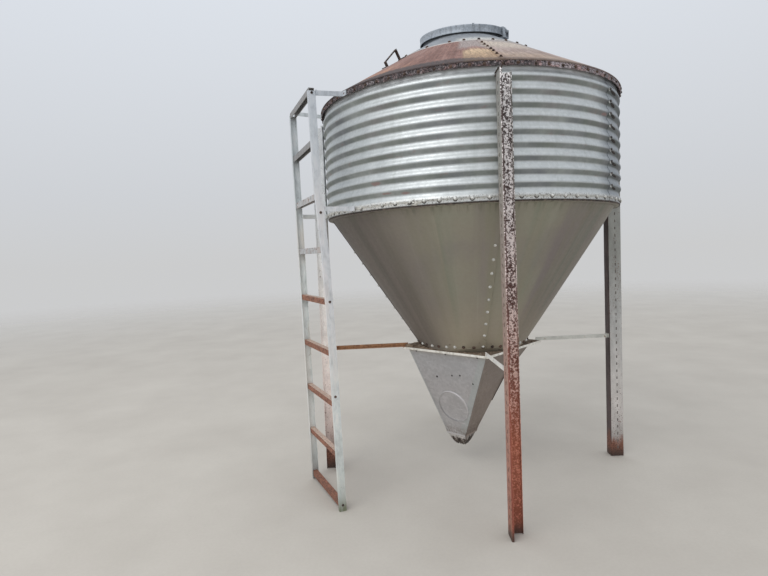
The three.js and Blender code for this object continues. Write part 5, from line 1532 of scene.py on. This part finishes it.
def ribbon(points, half, thick, side):
    """Flat strap through points. side is the direction its width runs along."""
    pts = np.array(points)
    side = np.asarray(side, float)
    side = side / np.linalg.norm(side)
    V = []
    for i, p in enumerate(pts):
        t = pts[min(i + 1, len(pts) - 1)] - pts[max(i - 1, 0)]
        t /= np.linalg.norm(t)
        w = side - t * (side @ t)
        w /= np.linalg.norm(w)
        nrm = np.cross(t, w)
        V += [p - w * half - nrm * thick / 2, p + w * half - nrm * thick / 2, p + w * half + nrm * thick / 2, p - w * half + nrm * thick / 2]
    V = np.array(V)
    q = []
    for i in range(len(pts) - 1):
        b = i * 4
        for j_ in range(4):
            k_ = (j_ + 1) % 4
            q.append([b + j_, b + k_, b + 4 + k_, b + 4 + j_])
    e = len(pts) * 4 - 4
    q += [[3, 2, 1, 0], [e, e + 1, e + 2, e + 3]]
    return V, [np.array(q)]


v, f = ribbon(P, 0.0040, 0.0022, (1, 0, -0.6))
piece("leg_strap", Geo().add(v, f), [STRAP])

# dark clip that holds the right leg at the foot of the wall, with its bolts
g = Geo()
o = rounded([(0.9285, 1.7060), (0.9700, 1.6960), (1.0030, 1.7020), (1.0088, 1.7180), (1.0084, 1.7360), (0.9880, 1.7440), (0.9500, 1.7400), (0.9285, 1.7500)][::-1], 0.004, 3)
v, f = prism(o[::-1], 0.0006, 0.0040)
g.add(np.column_stack([v[:, 0], -v[:, 2], v[:, 1]]), f)
piece("leg_clip", g, [STRAP], angle=40)
clip = [((x_, -0.004, z_), (0.1, -1, 0)) for x_, z_ in ((0.940, 1.728), (0.962, 1.716), (0.980, 1.730), (0.9955, 1.716))]
piece("leg_clip_bolts", scatter(head(0.0085, 0.0090, 0.0110, 0.0018, True), [(np.array(a_), b_) for a_, b_ in clip], seed=23, tilt=0.1), [BOLT_DARK])


# ------------------------------------------------------------------ CAD nodes that keep their shape: soft edges and a finish
def dress(name, mat, bevel=0.0012, seg=2):
    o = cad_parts[name]
    o.data.materials.clear()
    o.data.materials.append(mat)
    m = o.modifiers.new("edge", "BEVEL")
    m.width = bevel
    m.segments = seg
    m.limit_method = "ANGLE"
    m.angle_limit = R(40)
    m.use_clamp_overlap = True
    return o


for side, mat_ in (("front", BRACE_PALE), ("right", BRACE_GREY), ("back", BRACE_GREY), ("left", BRACE_RUST)):
    dress("brace_" + side, mat_, 0.0008)
for s, mat_ in (("near", LADDER), ("far", LADDER_FAR)):
    dress("ladder_stile_" + s, mat_, 0.0014)
    dress("ladder_arm_top_" + s, mat_, 0.0010)
    dress("ladder_arm_low_" + s, mat_, 0.0010)
for k in range(1, 10):
    dress("ladder_rung_%d" % k, RUNG_RUST_LOW if k == 1 else RUNG_RUST if k <= 5 else RUNG_ZINC if k <= 7 else RUNG_GREY, 0.0012)
# bolts on the near stile where its arms and two of its rungs are fixed
places = []
for z_, x_ in ((1.668, 0.001), (0.655, 0.004), (2.300, 0.0), (1.182, -0.002), (0.036, 0.0)):
    bow_ = float(np.interp(z_, [0, 0.95, 1.45, 1.8, 2.4], [-0.008, -0.007, 0.001, 0.021, 0.023]))
    q = turn([[1.043 + 0.01533 * z_ + bow_ + x_, 0.2182, z_]], 204.3)[0]
    places.append((q, turn([[0.0, 1.0, 0.0]], 204.3)[0]))
piece("ladder_bolts", scatter(head(0.0052, 0.0045, 0.0074, 0.0012, True), places, seed=29, tilt=0.1), [BOLT_RUST])
dress("lid_hinge_bracket", LID, 0.0008)
dress("lid_hinge_strap", LID, 0.0008)
dress("roof_handle", STRAP, 0.0010)

# ------------------------------------------------------------------ floor and light
floor = bpy.data.meshes.new("floor")
n = 96
ring = [0.0, 1.5, 3, 5, 8, 12, 18, 26]
fv = [(0, 0, 0)]
ff = []
for i, rad in enumerate(ring[1:]):
    for k in range(n):
        fv.append((rad * math.cos(2 * math.pi * k / n), rad * math.sin(2 * math.pi * k / n), 0))
for k in range(n):
    ff.append((0, 1 + k, 1 + (k + 1) % n))
for i in range(len(ring) - 2):
    for k in range(n):
        a, b = 1 + i * n + k, 1 + i * n + (k + 1) % n
        ff.append((a, a + n, b + n, b))
floor.from_pydata(fv, [], ff)
fo = bpy.data.objects.new("floor", floor)
SCENE.collection.objects.link(fo)
fm = Mat("floor_plain")
nf = fm.noise(fm.obj, 1.3, 4, 0.6)
fine = fm.noise(fm.obj, 60, 3, 0.6)
fcol = fm.mix(fm.mapr(fine, 0.3, 0.7, 0, 0.12), fm.ramp(nf, [(0.3, (0.53, 0.495, 0.445)), (0.7, (0.60, 0.565, 0.51))]), (0.42, 0.38, 0.33))
fm.finish(fcol, 0.9, 0.0)
ln = fm.node("ShaderNodeVectorMath", operation="LENGTH")
fm.put(ln.inputs[0], fm.obj)
fade = fm.mapr(ln.outputs["Value"], 5.0, 22.0)
tr = fm.node("ShaderNodeBsdfTransparent")
mx = fm.node("ShaderNodeMixShader")
fm.put(mx.inputs[0], fade)
fm.nt.links.new(fm.p.outputs[0], mx.inputs[1])
fm.nt.links.new(tr.outputs[0], mx.inputs[2])
outn = [x for x in fm.nt.nodes if x.type == "OUTPUT_MATERIAL"][0]
fm.nt.links.new(mx.outputs[0], outn.inputs[0])
floor.materials.append(fm.m)

world = bpy.data.worlds.new("overcast")
SCENE.world = world
world.use_nodes = True
wt = world.node_tree
wt.nodes.clear()
wo = wt.nodes.new("ShaderNodeOutputWorld")
bg = wt.nodes.new("ShaderNodeBackground")
tc = wt.nodes.new("ShaderNodeTexCoord")
sep = wt.nodes.new("ShaderNodeSeparateXYZ")
wr = wt.nodes.new("ShaderNodeValToRGB")
wt.links.new(tc.outputs["Generated"], sep.inputs[0])
mr = wt.nodes.new("ShaderNodeMapRange")
mr.inputs["From Min"].default_value = -1
mr.inputs["From Max"].default_value = 1
wt.links.new(sep.outputs[2], mr.inputs["Value"])
wt.links.new(mr.outputs[0], wr.inputs[0])
e = wr.color_ramp.elements
stops = [(0.0, (0.56, 0.56, 0.56)), (0.5, (0.60, 0.605, 0.61)), (0.56, (0.62, 0.64, 0.67)), (0.72, (0.72, 0.76, 0.82)), (1.0, (0.98, 0.99, 1.0))]
while len(e) < len(stops):
    e.new(0.5)
for s_, (pos, c_) in zip(e, stops):
    s_.position = pos
    s_.color = (*c_, 1)
wt.links.new(wr.outputs[0], bg.inputs[0])
bg.inputs[1].default_value = 1.0
wt.links.new(bg.outputs[0], wo.inputs[0])

key = bpy.data.lights.new("soft_key", "AREA")
key.shape = "DISK"
key.size = 5.0
key.energy = 150
key.color = (1.0, 0.99, 0.97)
ko = bpy.data.objects.new("soft_key", key)
SCENE.collection.objects.link(ko)
ko.location = (-3.6, -4.2, 6.2)
ko.rotation_mode = "QUATERNION"
ko.rotation_quaternion = (Vector((AX, 0, 1.3)) - Vector(ko.location)).to_track_quat("-Z", "Y")
